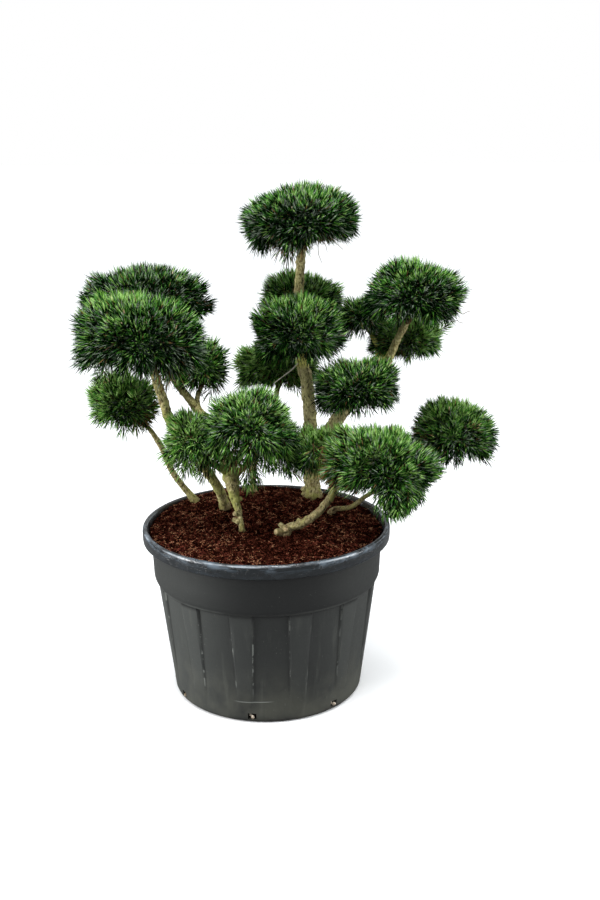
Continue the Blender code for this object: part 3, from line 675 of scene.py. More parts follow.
# %% Strew crumbs and fibres
CRUMBS = 9000
FIBRES = 7500
STREW_RADIUS = 0.400
RED_CRUMBS = 0.30
BROWN_FIBRES = 0.80
# Where a painted shadow lies on the bed, under the front limbs.
PAINTED_SHADOW_PLACE = (0.05, -0.16)
SPINDLE_FACES = ((0, 2, 1), (0, 3, 2), (0, 1, 3), (4, 1, 2), (4, 2, 3), (4, 3, 1))


def spindles(bases, tips, sides, widths):
    """Spindles of three sides, one for each row of the arrays: points, and faces as triples."""
    way = unit(tips - bases)
    across = unit(sides - way * np.sum(sides * way, axis=1, keepdims=True))
    up = np.cross(way, across)
    middle = (bases + tips) / 2
    half = widths[:, None] / 2
    ring = [middle + across * half, middle - across * half * 0.5 + up * half * 0.87,
            middle - across * half * 0.5 - up * half * 0.87]
    return np.stack([bases, *ring, tips], 1).reshape(-1, 3), repeated(SPINDLE_FACES, len(bases), 5)


def repeated(faces, count, points):
    """The faces of one small shape for each of many, with so many points in each."""
    start = np.arange(count)[:, None, None] * points
    return (start + np.array(faces)[None]).reshape(-1, 3)


def strewn(count, draw, lift):
    """Random places on the bed, as dense at its edge as in its middle."""
    radius = STREW_RADIUS * np.sqrt(draw.random(count))
    angle = draw.random(count) * 2 * math.pi
    x, y = radius * np.cos(angle), radius * np.sin(angle)
    z = np.array([soil_height(a, b) for a, b in zip(x, y)])
    return np.stack([x, y, z + lift], 1)


def patches_at(places):
    """Where the bed is redder: in patches and clods, more on the left, less in a painted shadow."""
    broad = np.array([noise.noise(Vector((x * 13.0, y * 13.0, 3.0))) for x, y, _ in places])
    clods = np.array([noise.noise(Vector((x * 62.0, y * 62.0, 7.0))) for x, y, _ in places])
    # Painted shadow: darker crumbs and fibres under the front limbs.
    painted_shadow = smooth(np.hypot(*(places[:, :2] - PAINTED_SHADOW_PLACE).T), 0.22, 0.05)
    return 0.6 * broad + 1.4 * clods - 0.50 * painted_shadow + 0.12 * smooth(-places[:, 0], 0.05, 0.30)


def flat_ways(count, draw, rise):
    """Ways in every direction, but flattened towards the level."""
    return unit(draw.normal(size=(count, 3)) * (1, 1, rise))


crumb_finishes = [
    two_tone("crumb_dark", (0.0030, 0.0005, 0.0003), (0.010, 0.0022, 0.0009), 60.0),
    two_tone("crumb_red", (0.036, 0.0076, 0.0050), (0.127, 0.0325, 0.0210), 60.0),
    two_tone("fibre_orange", (0.215, 0.082, 0.038), (0.470, 0.245, 0.135), 60.0),
    two_tone("fibre_brown", (0.044, 0.0095, 0.0058), (0.125, 0.036, 0.021), 60.0),
]
draw = np.random.default_rng(21)
places = strewn(CRUMBS, draw, 0.0015)
length = draw.uniform(0.005, 0.014, CRUMBS)[:, None]
ways = flat_ways(CRUMBS, draw, 0.5)
crumbs = spindles(places - ways * length / 2, places + ways * length / 2,
                  draw.normal(size=(CRUMBS, 3)), draw.uniform(0.0030, 0.0072, CRUMBS))
crumb_kind = (draw.random(CRUMBS) < RED_CRUMBS + patches_at(places)).astype(int)

places = strewn(FIBRES, draw, 0.0022)
length = draw.uniform(0.007, 0.024, FIBRES)[:, None]
ways = flat_ways(FIBRES, draw, 0.30)
turned_ways = unit(ways + draw.normal(size=(FIBRES, 3)) * (0.55, 0.55, 0.22))
width = draw.uniform(0.0014, 0.0032, FIBRES)
side = draw.normal(size=(FIBRES, 3))
first = spindles(places - ways * length * 0.52, places, side, width)
second = spindles(places - ways * length * 0.03, places + turned_ways * length * 0.5, side, width)
fibre_kind = 2 + (draw.random(FIBRES) < BROWN_FIBRES - patches_at(places)).astype(int)

shapes = (crumbs, first, second)
starts = (0, len(crumbs[0]), len(crumbs[0]) + len(first[0]))
faces = np.concatenate([shape[1] + start for shape, start in zip(shapes, starts)])
kinds = np.repeat(np.concatenate([crumb_kind, fibre_kind, fibre_kind]), len(SPINDLE_FACES))
points = np.concatenate([shape[0] for shape in shapes])
litter = piece_from("substrate_litter", points, faces, crumb_finishes, kinds)
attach(litter, "root")
print("Crumbs and fibres:", CRUMBS + FIBRES, "in", len(faces), "triangles")

# %% [markdown]
# ## Bark
#
# A young pine's stem is grey brown, with a ring at each year's whorl of twigs and thin plates
# between. Low down, where it stays damp, moss and algae turn it olive. The colour comes from
# noise that is mixed by height, and the plates come from the mesh as well as from the shader.

# %% The bark, the cut wood and the twigs
MOSS_END = 1.30

bark = Finish("bark", 0.88, 0.2)
fade = bark.between
cloud = bark.clouds
east, north, height = bark.axes()
grain = cloud((230.0, 230.0, 95.0), 6.0, 0.68)
patches = cloud((48.0, 48.0, 24.0), 4.0, 0.65)
cracks = fade(cloud((150.0, 150.0, 60.0), 5.0, 0.7), 0.47, 0.38)
moss = fade(cloud(17.0, 5.0, 0.65), 0.42, 0.60) * (fade(height, MOSS_END, 0.75) * 0.72 + 0.22)
lichen = fade(cloud(120.0, 3.0), 0.64, 0.72) * fade(patches, 0.42, 0.55)

# The moss is thickest on the front stems above the mulch and at the trunk's foot. Low stems in
# front and at the right are painted darker, as shade. The trunk is painted paler low down, most of
# all under its dome, as light where the domes shade it.
in_front = fade(north, 0.07, 0.02) * fade(height, 0.66, 0.72)
trunk_foot = fade(north, 0.22, 0.26) * fade(height, 0.72, 0.66)
# Painted shade on the low stems in front and at the right.
low_stem_shade = fade(east, 0.20, 0.25).or_more(fade(north, -0.075, -0.110)) * fade(height, 0.80, 0.72)
# Painted light: the trunk is paler low down, and paler and yellower under its dome, where the domes shade
# it.
trunk_low_light = fade(north, 0.21, 0.23) * fade(height, 1.16, 1.08) * fade(height, 0.74, 0.82)
under_dome_light = fade(north, 0.20, 0.22) * fade(height, 1.09, 1.12) * fade(height, 1.215, 1.19)
bark.colour(bark.layered(
    bark.ramp(grain, (0.33, (0.070, 0.054, 0.022)), (0.48, (0.375, 0.325, 0.138)),
              (0.62, (0.730, 0.650, 0.345))),
    (fade(patches, 0.50, 0.66) * 0.72, (0.150, 0.088, 0.040)),
    (moss * (in_front.or_more(trunk_foot) * 0.30 + 0.62), (0.345, 0.370, 0.090)),
    (lichen * 0.5, (0.55, 0.54, 0.38)),
    (low_stem_shade * 0.50, (0.070, 0.046, 0.024)),
    (trunk_low_light * 0.30, (0.66, 0.60, 0.34)),
    (under_dome_light * fade(east, 0.06, 0.08) * 0.85, (0.860, 0.830, 0.230)),
    (cracks * 0.85, (0.035, 0.025, 0.012)),
    (fade(height, SOIL_TOP + 0.045, SOIL_TOP) * 0.60, (0.070, 0.036, 0.016)),
))
bark.bump(grain * 0.6 - cracks * 0.8 + moss * 0.3, 0.0022, 0.9)

cut_wood = mottled("cut_wood", (0.17, 0.11, 0.045), (0.45, 0.36, 0.20), 0.8, 0.2, 160.0, 4.0,
                   500.0, 0.001, 0.6)
twig_bark = mottled("twig_bark", (0.060, 0.034, 0.014), (0.210, 0.125, 0.052), 0.85, 0.2, 90.0, 4.0,
                    420.0, 0.001, 0.6)
print("Moss fades out above", MOSS_END, "m")

# %% [markdown]
# ## Stems and boughs
#
# Each limb follows the same way points as its solid. A curve with a bevel would give a smooth
# hose. Rings in code can swell at each whorl, wander in thickness, and carry plates of bark,
# because every point's distance from the middle is worked out on its own.

# %% The ways of the limbs
# Each point has its place and the limb's radius there, in millimetres.
FOOT = 592.3
LIMB_POINTS = {
    "trunk": (
        (165, 300, FOOT, 41), (164, 298, 625, 31), (160, 292, 702, 26.5), (157, 270, 877, 24),
        (142, 250, 1060, 21.5), (111, 240, 1164, 20.5), (115, 230, 1273, 16.5), (118, 225, 1373, 15),
        (123, 220, 1457, 14.5), (131, 216, 1548, 13.5),
    ),
    "limb_right": (
        (158, 281, 755, 22.5), (206, 281, 818, 25.5), (261, 272, 908, 25.5), (310, 260, 980, 24.5),
        (356, 240, 1074, 21), (429, 220, 1129, 17), (462, 200, 1202, 16), (494, 168, 1280, 14.5),
    ),
    "bough_middle": ((112, 240, 1160, 12), (112, 205, 1170, 11.5), (114, 172, 1183, 10.5)),
    "bough_back": ((115, 230, 1235, 11.5), (119, 290, 1243, 11), (125, 385, 1262, 9.5)),
    "bough_far_right": (
        (183, 282, 806, 15), (260, 283, 800, 14.5), (360, 275, 788, 13.5), (460, 260, 786, 12.5),
        (550, 238, 797, 11.5), (618, 226, 808, 10),
    ),
    "bough_right_middle": ((303, 262, 970, 12), (308, 205, 976, 11.5), (318, 130, 992, 9.5)),
    "bough_right_back": (
        (345, 243, 1061, 13.5), (387, 280, 1110, 12.5), (440, 318, 1128, 10.5), (480, 330, 1135, 9.5),
    ),
    "bough_right_inner": ((407, 292, 1119, 10.5), (401, 306, 1165, 10), (378, 327, 1208, 8.5)),
    "stem_left_thin": (
        (-266, 240, FOOT, 18.5), (-290, 236, 628, 12.5), (-328, 220, 686, 11.5), (-351, 200, 737, 11.2),
        (-374, 180, 812, 10.5), (-409, 162, 884, 9), (-434, 155, 914, 8.2),
    ),
    "stem_left": (
        (-154, 172, FOOT, 21.5), (-163, 150, 645, 18), (-184, 128, 702, 17.2), (-224, 100, 775, 17),
        (-279, 60, 870, 17.2), (-325, 30, 953, 17), (-344, 0, 1040, 16.5), (-360, -22, 1108, 15.5),
        (-371, -36, 1160, 14.5),
    ),
    "stem_front_left": (
        (-82, -68, FOOT, 15.5), (-88, -52, 625, 12.5), (-97, -32, 660, 13.5), (-108, -12, 692, 18),
        (-115, 2, 730, 21.8), (-125, 22, 781, 26.2), (-155, 80, 855, 21.5), (-200, 130, 918, 19),
        (-247, 170, 968, 16.9), (-332, 220, 1067, 16), (-398, 244, 1170, 13.5), (-420, 250, 1258, 11.5),
    ),
    "bough_left_inner": ((-238, 162, 962, 9.2), (-246, 194, 1000, 8.8), (-234, 214, 1036, 8)),
    "bough_front_left": ((-124, 20, 770, 14), (-172, -22, 815, 12.5), (-222, -47, 848, 9.5)),
    "bough_front_middle": ((-130, 30, 796, 15), (-95, -40, 837, 13), (-68, -84, 897, 10.5)),
    "bough_front_inner": ((-119, 10, 750, 11.5), (-66, 26, 802, 10.5), (-4, 44, 850, 8.5)),
    "stem_back": (
        (-58, 345, FOOT, 15), (-58, 343, 640, 11.8), (-52, 340, 720, 11.2), (-23, 340, 822, 11),
        (18, 340, 918, 10.2), (36, 346, 992, 9.2),
    ),
    "limb_front_right": (
        (66, -104, FOOT, 21.5), (78, -108, 614.5, 19.5), (115, -118, 630, 17.5), (166, -120, 663, 16.3),
        (198, -120, 697, 15.8), (224, -120, 735, 15.3), (244, -120, 784, 14.5),
    ),
    "bough_front_small": ((229, -120, 748, 9.5), (218, -82, 786, 8.5), (198, -30, 818, 8)),
    "stem_low_right": (
        (229, 118, FOOT, 13.5), (245, 106, 610, 11.5), (274, 90, 618, 11.3), (304, 66, 634, 10.7),
        (348, 30, 682, 9.8), (391, -4, 718, 8.8),
    ),
}
LIMBS = {name: np.array(points) / 1000 for name, points in LIMB_POINTS.items()}
# Limbs that are slimmer or thicker along a stretch: shares of the length, and how thick there.
THICKNESS = {
    "limb_right": ((0.35, 1.0), (0.55, 0.84)),
    "limb_front_right": ((0.05, 1.0), (0.25, 0.80)),
    "stem_front_left": ((0.0, 0.66), (0.16, 0.72), (0.30, 1.0), (0.45, 1.10), (0.60, 0.95), (0.70, 0.84)),
    "stem_low_right": ((0.05, 1.0), (0.25, 0.80)),
    "trunk": ((0.65, 1.0), (0.85, 1.09)),
}
GNARLED = ("limb_front_right", "stem_front_left")
RING_STEP = 0.0036
WHORL_APART = 0.064
PLATE_SCALE = 99.2
BURIED = 0.012
FIRST_SIDE = (0.3, 1.0, 0.2)


def smooth_way(way, steps):
    """Places and radii on a smooth curve through way points, with steps from one to the next."""
    rows = np.concatenate([[2 * way[0] - way[1]], way, [2 * way[-1] - way[-2]]])
    out = []
    for i in range(1, len(rows) - 2):
        a, b, c, d = rows[i - 1:i + 3]
        for t in np.arange(steps) / steps:
            out.append(0.5 * (2 * b + (c - a) * t + (2 * a - 5 * b + 4 * c - d) * t ** 2
                              + (3 * b - a - 3 * c + d) * t ** 3))
    out = np.array([*out, rows[-2]])
    return out[:, :3], out[:, 3]


def evenly(centres, radii, step):
    """The same curve with its points a step apart, and how far along it each of them is."""
    run = np.concatenate([[0.0], np.cumsum(np.linalg.norm(np.diff(centres, axis=0), axis=1))])
    marks = np.linspace(0.0, run[-1], max(3, int(run[-1] / step) + 1))
    place = np.stack([np.interp(marks, run, centres[:, k]) for k in range(3)], 1)
    return place, np.interp(marks, run, radii), marks


def rings_round(centres, radii, sides, relief=None, upright=False):
    """Rings square to a curve and carried along it without twist, as points and faces."""
    heading = unit(np.gradient(centres, axis=0))
    if upright:
        heading[0] = (0, 0, 1)
    across = np.cross(heading[0], FIRST_SIDE)
    angles = np.arange(sides) * 2 * math.pi / sides
    points = []
    for i, (centre, radius) in enumerate(zip(centres, radii)):
        across = unit(across - heading[i] * across.dot(heading[i]))
        spokes = np.cos(angles)[:, None] * across + np.sin(angles)[:, None] * np.cross(heading[i], across)
        reach = np.full(sides, radius)
        if relief is not None:
            reach = reach + relief(i, centre, radius, spokes)
        points.append(centre + spokes * reach[:, None])
    points = np.concatenate([*points, centres[:1], centres[-1:]])
    first, last = len(points) - 2, len(points) - 1
    top = first - sides
    turn = [(side, (side + 1) % sides) for side in range(sides)]
    faces = strips(len(centres), sides).tolist() + [(b, a, first) for a, b in turn]
    return points, faces + [(top + a, top + b, last) for a, b in turn]


def bark_relief(marks, seed, gnarl):
    """How far bark stands out: whorls along the stem, slow swellings, knobs, plates and fine grain."""
    shift = Vector((seed * 3.1, seed * 1.7, seed * 0.9))

    def relief(i, centre, radius, spokes):
        phase = (marks[i] / WHORL_APART + 0.35 * math.sin(seed + marks[i] * 9)) % 1
        whorl = 0.085 * math.exp(-((phase - 0.5) / 0.075) ** 2)
        out = np.empty(len(spokes))
        for k, spoke in enumerate(spokes):
            spot = Vector(centre + spoke * radius)
            slow = 0.10 * noise.noise(spot * 17 + shift)
            knob = gnarl * max(0.0, noise.noise(spot * 45 + shift) - 0.05) * 0.9
            near = noise.voronoi(Vector((spot.x, spot.y, spot.z * 0.55)) * PLATE_SCALE + shift)[0]
            plate = 0.105 * float(smooth(near[1] - near[0], 0.0, 0.35))
            fine = 0.050 * noise.noise(spot * 210)
            out[k] = radius * (slow + knob + whorl + plate + fine - 0.085)
        return out

    return relief


def limb_skin(name, number):
    """A limb's bark. One that stands in the substrate starts a little below its top."""
    centres, radii = smooth_way(LIMBS[name], 12)
    shares, thick = zip(*THICKNESS.get(name, ((0.0, 1.0),)))
    radii = radii * np.interp(np.linspace(0, 1, len(radii)), shares, thick)
    centres, radii, marks = evenly(centres, radii, RING_STEP)
    grounded = LIMB_POINTS[name][0][2] == FOOT
    if grounded:
        centres = np.concatenate([[(*centres[0][:2], FOOT / 1000 - BURIED)], centres])
        radii = np.concatenate([[radii[0] * 1.06], radii])
        marks = np.concatenate([[0.0], marks + BURIED])
    sides = 28 if max(radii) > 0.02 else 22 if max(radii) > 0.0125 else 16
    gnarl = 0.55 if name in GNARLED else 0.25
    return rings_round(centres, radii, sides, bark_relief(marks, number, gnarl), grounded)


# %% Grow the bark
skins = [limb_skin(name, number) for number, name in enumerate(LIMBS)]
stems = piece_from("stems_and_boughs", *gathered(skins), [bark])
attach(stems, "root")
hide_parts(*LIMBS)
print("Bark faces:", len(stems.data.polygons))

# %% [markdown]
# ## Cut stubs and knots
#
# The grower has sawn off side shoots over the years. Each cut leaves a short stub with a pale
# face and a swollen collar, most of all at the feet of the stems. A stub is a short bark tube
# that ends in a disc of cut wood.

# %% Add stubs with cut faces
# For each limb: share of its length, heading in degrees, rise, then length and radius in mm.
STUBS = {
    "limb_front_right": (
        (0.02, 215, 0.35, 20, 12), (0.05, 270, 0.7, 16, 9.5), (0.09, 150, 0.8, 14, 8.5),
        (0.3, 70, 0.8, 10, 6.5),
    ),
    "stem_front_left": ((0.07, 170, 0.45, 18, 8), (0.14, 225, 0.3, 12, 8.5), (0.24, 10, 0.6, 10, 6.5)),
    "stem_left": ((0.12, 240, 0.6, 12, 7),),
    "trunk": (
        (0.03, 195, 0.8, 12, 10), (0.15, 150, 0.7, 12, 8), (0.46, 200, 0.7, 10, 6.5),
        (0.62, 20, 0.6, 12, 6),
    ),
    "limb_right": ((0.3, 330, 0.6, 14, 8),),
    "stem_left_thin": ((0.3, 160, 0.6, 8, 4.5), (0.52, 30, 0.6, 8, 4.2)),
    "stem_low_right": ((0.15, 250, 0.6, 10, 5),),
}
STUB_SWELL = np.array([1.45, 1.32, 1.16, 1.06, 1.04, 1.0, 0.9])
STUB_SIDES = 14
STUB_SEED = 40


def stub_shapes(limb, share, heading, rise, length, radius, seed):
    centres, radii = smooth_way(LIMBS[limb], 12)
    at = share * (len(centres) - 1)
    low = int(at)
    centre = centres[low] + (centres[low + 1] - centres[low]) * (at - low)
    turn = math.radians(heading)
    way = unit(np.array([math.cos(turn), math.sin(turn), rise]))
    start = centre + way * radii[low] * 0.5
    reach = radii[low] * 0.5 + length / 1000
    marks = np.linspace(0, 1, len(STUB_SWELL)) * reach
    relief = bark_relief(marks, seed, 0.3)
    tube = rings_round(start + way * marks[:, None], radius / 1000 * STUB_SWELL, STUB_SIDES, relief)
    end = start + way * (reach + 0.0004)
    wide = radius / 1000 * np.array([0.80, 0.76])
    return tube, rings_round(np.stack([end - way * 0.002, end]), wide, STUB_SIDES)


rows = [(limb, *row) for limb, group in STUBS.items() for row in group]
tubes, cuts = zip(*[stub_shapes(*row, STUB_SEED + number) for number, row in enumerate(rows)])
kinds = [0] * sum(len(f) for _, f in tubes) + [1] * sum(len(f) for _, f in cuts)
stubs = piece_from("cut_stubs", *gathered(tubes + cuts), [bark, cut_wood], kinds)
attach(stubs, "root")
print("Stubs:", len(rows))

# %% [markdown]
# ## Needles in greens of their own
#
# Mugo needles grow in pairs round each shoot. New ones are yellow green, older ones a full
# green, and a few are brown. The greens are plain finishes that are dealt out by tuft and by
# needle, so that a colour keeps its place on the plant. The dealing also paints light and shade:
# pale greens on the tops, on the lower fringes and on upturned shoots, dark greens inside the
# domes and low on each shoot, partly for age, and pale grey-blue needles as painted glints.

# %% The greens
GREENS = [
    # name, dark tone, pale tone, roughness, gloss
    ("lime", (0.116, 0.265, 0.024), (0.300, 0.490, 0.150), 0.36, 0.12),
    ("fresh", (0.029, 0.130, 0.011), (0.074, 0.236, 0.026), 0.36, 0.09),
    ("full", (0.012, 0.050, 0.009), (0.035, 0.118, 0.025), 0.36, 0.07),
    ("deep", (0.0012, 0.0060, 0.0009), (0.006, 0.021, 0.005), 0.36, 0.0),
    # Pale grey-blue needles, dealt in among the dark ones as painted glints.
    ("glint", (0.080, 0.115, 0.080), (0.250, 0.305, 0.222), 0.36, 0.30),
    ("brown", (0.110, 0.060, 0.020), (0.260, 0.150, 0.060), 0.7, 0.10),
]
LIME, FRESH, FULL, DEEP, GLINT, BROWN = range(len(GREENS))
greens = [two_tone("needle_" + name, dark, pale, 55.0, rough, gloss, 0.14)
          for name, dark, pale, rough, gloss in GREENS]
print("Greens:", len(greens) - 1, "and a brown")

# %% [markdown]
# ## The domes
#
# Each dome follows the rule that its solid was grown by: places are dealt over it by the golden
# angle, and what grows there reaches the dome's outline. The solid has a few dozen toothed
# blades. Here each place is a shoot with its own twig and about fifty needles, and the
# underside stays open where the grower has cleaned it out.

# %% The domes and their sizes
# For each dome: its bough, its middle and its width, depth and height in millimetres, and how
# much paler its greens are dealt, or darker below 0; this is partly its own tone and partly painted
# light and shade where the domes shade each other. A trim is where the shears went deeper or left
# more, as the camera sees the dome: a heading in degrees, from 0 at the right over 90 at the top,
# and a percentage.
DOMES = {
    "top": ("trunk", (129, 220, 1630), (450, 400, 258), -0.28),
    "back": ("bough_back", (127, 450, 1325), (340, 280, 210), 0.3),
    "middle": ("bough_middle", (116, 112, 1254), (382, 275, 282), -0.21),
    "back_low": ("stem_back", (40, 374, 1084), (335, 245, 222), 1.0),
    "left_back": ("stem_front_left", (-424, 254, 1351), (525, 320, 248), -0.66),
    "left_front": ("stem_left", (-412, -66, 1272), (500, 335, 298), -0.1),
    "left_inner": ("bough_left_inner", (-226, 224, 1112), (210, 200, 215), 0.2),
    "left_low": ("stem_left_thin", (-503, 150, 994), (290, 255, 250), 0.66),
    "front_left": ("bough_front_left", (-250, -60, 922), (212, 205, 212), 0.44),
    "front_middle": ("bough_front_middle", (-43, -104, 990), (305, 255, 255), 0.06),
    "front_inner": ("bough_front_inner", (36, 58, 889), (190, 180, 198), 0.2),
    "right_top": ("limb_right", (520, 120, 1387), (382, 310, 264), -0.2),
    "right_inner": ("bough_right_inner", (349, 345, 1276), (192, 195, 170), 0.12),
    "right_back": ("bough_right_back", (520, 345, 1187), (274, 250, 182), 0.85),
    "right_middle": ("bough_right_middle", (325, 74, 1070), (340, 275, 214), 0.02),
    "far_right": ("bough_far_right", (681, 220, 868), (336, 290, 266), 0.56),
    "front_right": ("limb_front_right", (402, -150, 855), (432, 350, 316), 0.02),
    "front_small": ("bough_front_small", (168, 66, 841), (205, 185, 200), 0.56),
}
TRIMS = {
    "top": ((45, -9), (120, -5), (190, 2), (222, -18), (262, 6), (305, -26), (335, -12)),
    "back": ((65, -11), (120, 6)),
    "middle": ((150, 11), (180, -15), (268, -16), (320, -26)),
    "back_low": ((160, 14), (200, 5), (230, -10), (270, -8)),
    "left_back": ((90, 7), (125, -5), (160, 5), (195, -7), (330, -7)),
    "left_front": ((0, -3), (120, 6), (185, -8), (215, -7)),
    "left_inner": ((60, 19), (95, -19), (315, -34)),
    "left_low": ((0, -8), (140, 8), (220, -32), (256, -22), (308, -30)),
    "front_left": ((0, 5), (110, 8), (150, -8), (220, -20), (275, 14), (325, 12)),
    "front_middle": ((25, -4), (350, 7), (122, -2), (155, 10), (190, 10),
                     (230, 10), (275, 22), (315, 20)),
    "front_inner": ((0, 6), (90, 10), (180, 5), (270, 5)),
    "right_top": ((10, 1), (60, -14), (95, -5), (330, -18)),
    "right_inner": ((45, -6), (90, -20), (130, -6)),
    "right_back": ((10, -4), (150, 12), (190, 22), (325, -16), (285, -7)),
    "right_middle": ((355, -19), (40, 10), (105, -6), (150, 10), (240, -16), (300, -27)),
    "far_right": ((65, -7), (130, 9), (190, 11), (270, 5), (305, -5)),
    "front_right": ((40, -22), (97, -13), (150, 10), (228, -24), (285, 42), (325, -34)),
    "front_small": ((120, 4), (180, 22), (235, 16), (60, 8)),
}
# How many degrees a dome leans forward and sideways.
LEANS = {
    "front_right": (-5, 13), "top": (0, -5), "right_top": (0, 6), "left_low": (0, 12),
    "left_front": (0, 4), "front_left": (-6, -8), "front_middle": (-5, 4), "right_middle": (0, -4),
}
DOME_POWER = 2.9
NEEDLE_POWER = 2.35
DOME_TOP_SHARE = 0.58
LUMPY = 0.070
HOLLOW = 0.24
RAGGED = 0.24
TRIM_HALF = 45
SEEN_UP = np.array([0.0, math.sin(math.radians(CAMERA_DOWN)), math.cos(math.radians(CAMERA_DOWN))])


class Dome:
    """A clipped dome: its widest level, and how far it reaches from there in any direction."""

    def __init__(self, name, number):
        self.name = name
        self.number = number
        self.bough, middle, size, self.light_and_tone = DOMES[name]
        middle, size = np.array(middle) / 1000, np.array(size) / 1000
        self.half = size[:2] / 2
        self.tall = size[2]
        self.level = middle + (0, 0, (0.5 - DOME_TOP_SHARE) * self.tall)
        forward, sideways = (math.radians(turn) for turn in LEANS.get(name, (0, 0)))
        self.lean = np.array(Matrix.Rotation(sideways, 3, "Y") @ Matrix.Rotation(forward, 3, "X"))

    def leaned(self, ways):
        """Ways of the upright dome as the leaning dome has them."""
        return ways @ self.lean.T

    def halves(self, ways):
        """Half the dome's size along each axis, on the side of its widest level that a way is on."""
        up = np.where(ways[:, 2] > 0, DOME_TOP_SHARE, 1 - DOME_TOP_SHARE) * self.tall
        return np.column_stack([np.tile(self.half, (len(ways), 1)), up])

    def trim(self, ways):
        """What the shears left of the plain dome's reach, along unit ways."""
        seen = self.leaned(ways)
        across, rise = seen[:, 0], seen @ SEEN_UP
        turn = np.degrees(np.arctan2(rise, across))
        share = np.zeros(len(ways))
        for heading, more in TRIMS[self.name]:
            apart = np.abs((turn - heading + 180) % 360 - 180)
            share += more / 100 * np.cos(np.radians(90 * np.minimum(apart / TRIM_HALF, 1))) ** 2
        return 1 + share * smooth(np.hypot(across, rise), 0.3, 0.95)

    def reach(self, ways):
        """How far the outline is from the middle of the widest level, along unit ways."""
        scaled = np.abs(ways / self.halves(ways))
        power = np.where(ways[:, 2] > 0, NEEDLE_POWER, DOME_POWER)
        size = (np.hypot(scaled[:, 0], scaled[:, 1]) ** power + scaled[:, 2] ** power) ** (1 / power)
        shift = Vector((self.number * 2.3, 4.1, self.number * 1.1))
        lumps = np.array([noise.noise(Vector(way) * 2.1 + shift) for way in ways])
        rag = np.array([noise.noise(Vector((x, y, 0.0)) * 2.6 - shift) for x, y, _ in ways])
        ragged = (RAGGED * rag + 0.04) * smooth(-ways[:, 2], 0.05, 0.45)
        hollow = HOLLOW * smooth(-ways[:, 2], 0.42, 0.90)
        return (1 + LUMPY * lumps + ragged - hollow) * self.trim(ways) / size

    def outward(self, ways):
        """The dome's outward direction where these ways meet it."""
        halves = self.halves(ways)
        scaled = ways / halves
        flat = np.maximum(np.linalg.norm(scaled[:, :2], axis=1), 1e-6) ** (NEEDLE_POWER - 2)
        upward = np.sign(scaled[:, 2]) * np.abs(scaled[:, 2]) ** (NEEDLE_POWER - 1)
        return unit(np.column_stack([scaled[:, :2] * flat[:, None], upward]) / halves)

    def area(self):
        mean = self.half.sum()
        return math.pi * mean * (mean / 2 + DOME_TOP_SHARE ** 2 * self.tall)


domes = [Dome(name, number) for number, name in enumerate(DOMES)]
print("Domes:", len(domes), "Area:", round(sum(dome.area() for dome in domes), 2), "square metres")

# %% [markdown]
# ## Shoots, twigs and needles
#
# A shoot points out of the dome and a little upwards, as pine candles do. Its needles spread
# wide at its foot and close up at its tip, each bowed a little outwards. A needle is the
# cheapest closed solid there is, four triangles from its root over two sides to its point: a
# curve or a ribbon for each would be many times heavier.

# %% How a shoot and its needles grow
SHOOT_AREA = 0.00125
INNER_SHARE = 0.28
SHOOT_LONG = 0.046
SHOOT_LOWEST = -0.66
INNER_LOWEST = -0.40
LIFT = 0.16
FLANK_LIFT = 0.352
DROOP = 0.34
SET_BACK = 0.052
INNER_BACK = 0.036
STAND = 0.42
FRINGE_APART = 0.050
FRINGE_IN = 0.74
FRINGE_DOWN = 0.15
NEEDLES = 48
NEEDLE_LONG = 0.060
NEEDLE_WIDE = 0.0030
NEEDLE_BOW = 0.040
NEEDLE_FACES = ((0, 1, 2), (0, 2, 3), (0, 3, 1), (1, 3, 2))
SPREAD_TIP = math.radians(8)
SPREAD_FOOT = math.radians(52)
GOLDEN = math.pi * (3 - math.sqrt(5))
PATCHY = 0.62
# Painted light: the greens are dealt palest at a dome's top and darker down its flanks, by these shares.
# The domes in front darken less down their flanks, as painted light from the front, and their shoots also
# lift more.
TOP_LIGHT = 0.90
SLOPE = 0.80
FRONT_DOMES = ("front_left", "front_middle", "front_right", "front_small", "front_inner")
SLOPES = {"far_right": 1.30, "middle": 0.55, "back_low": 0.5, **dict.fromkeys(FRONT_DOMES, 0.46)}
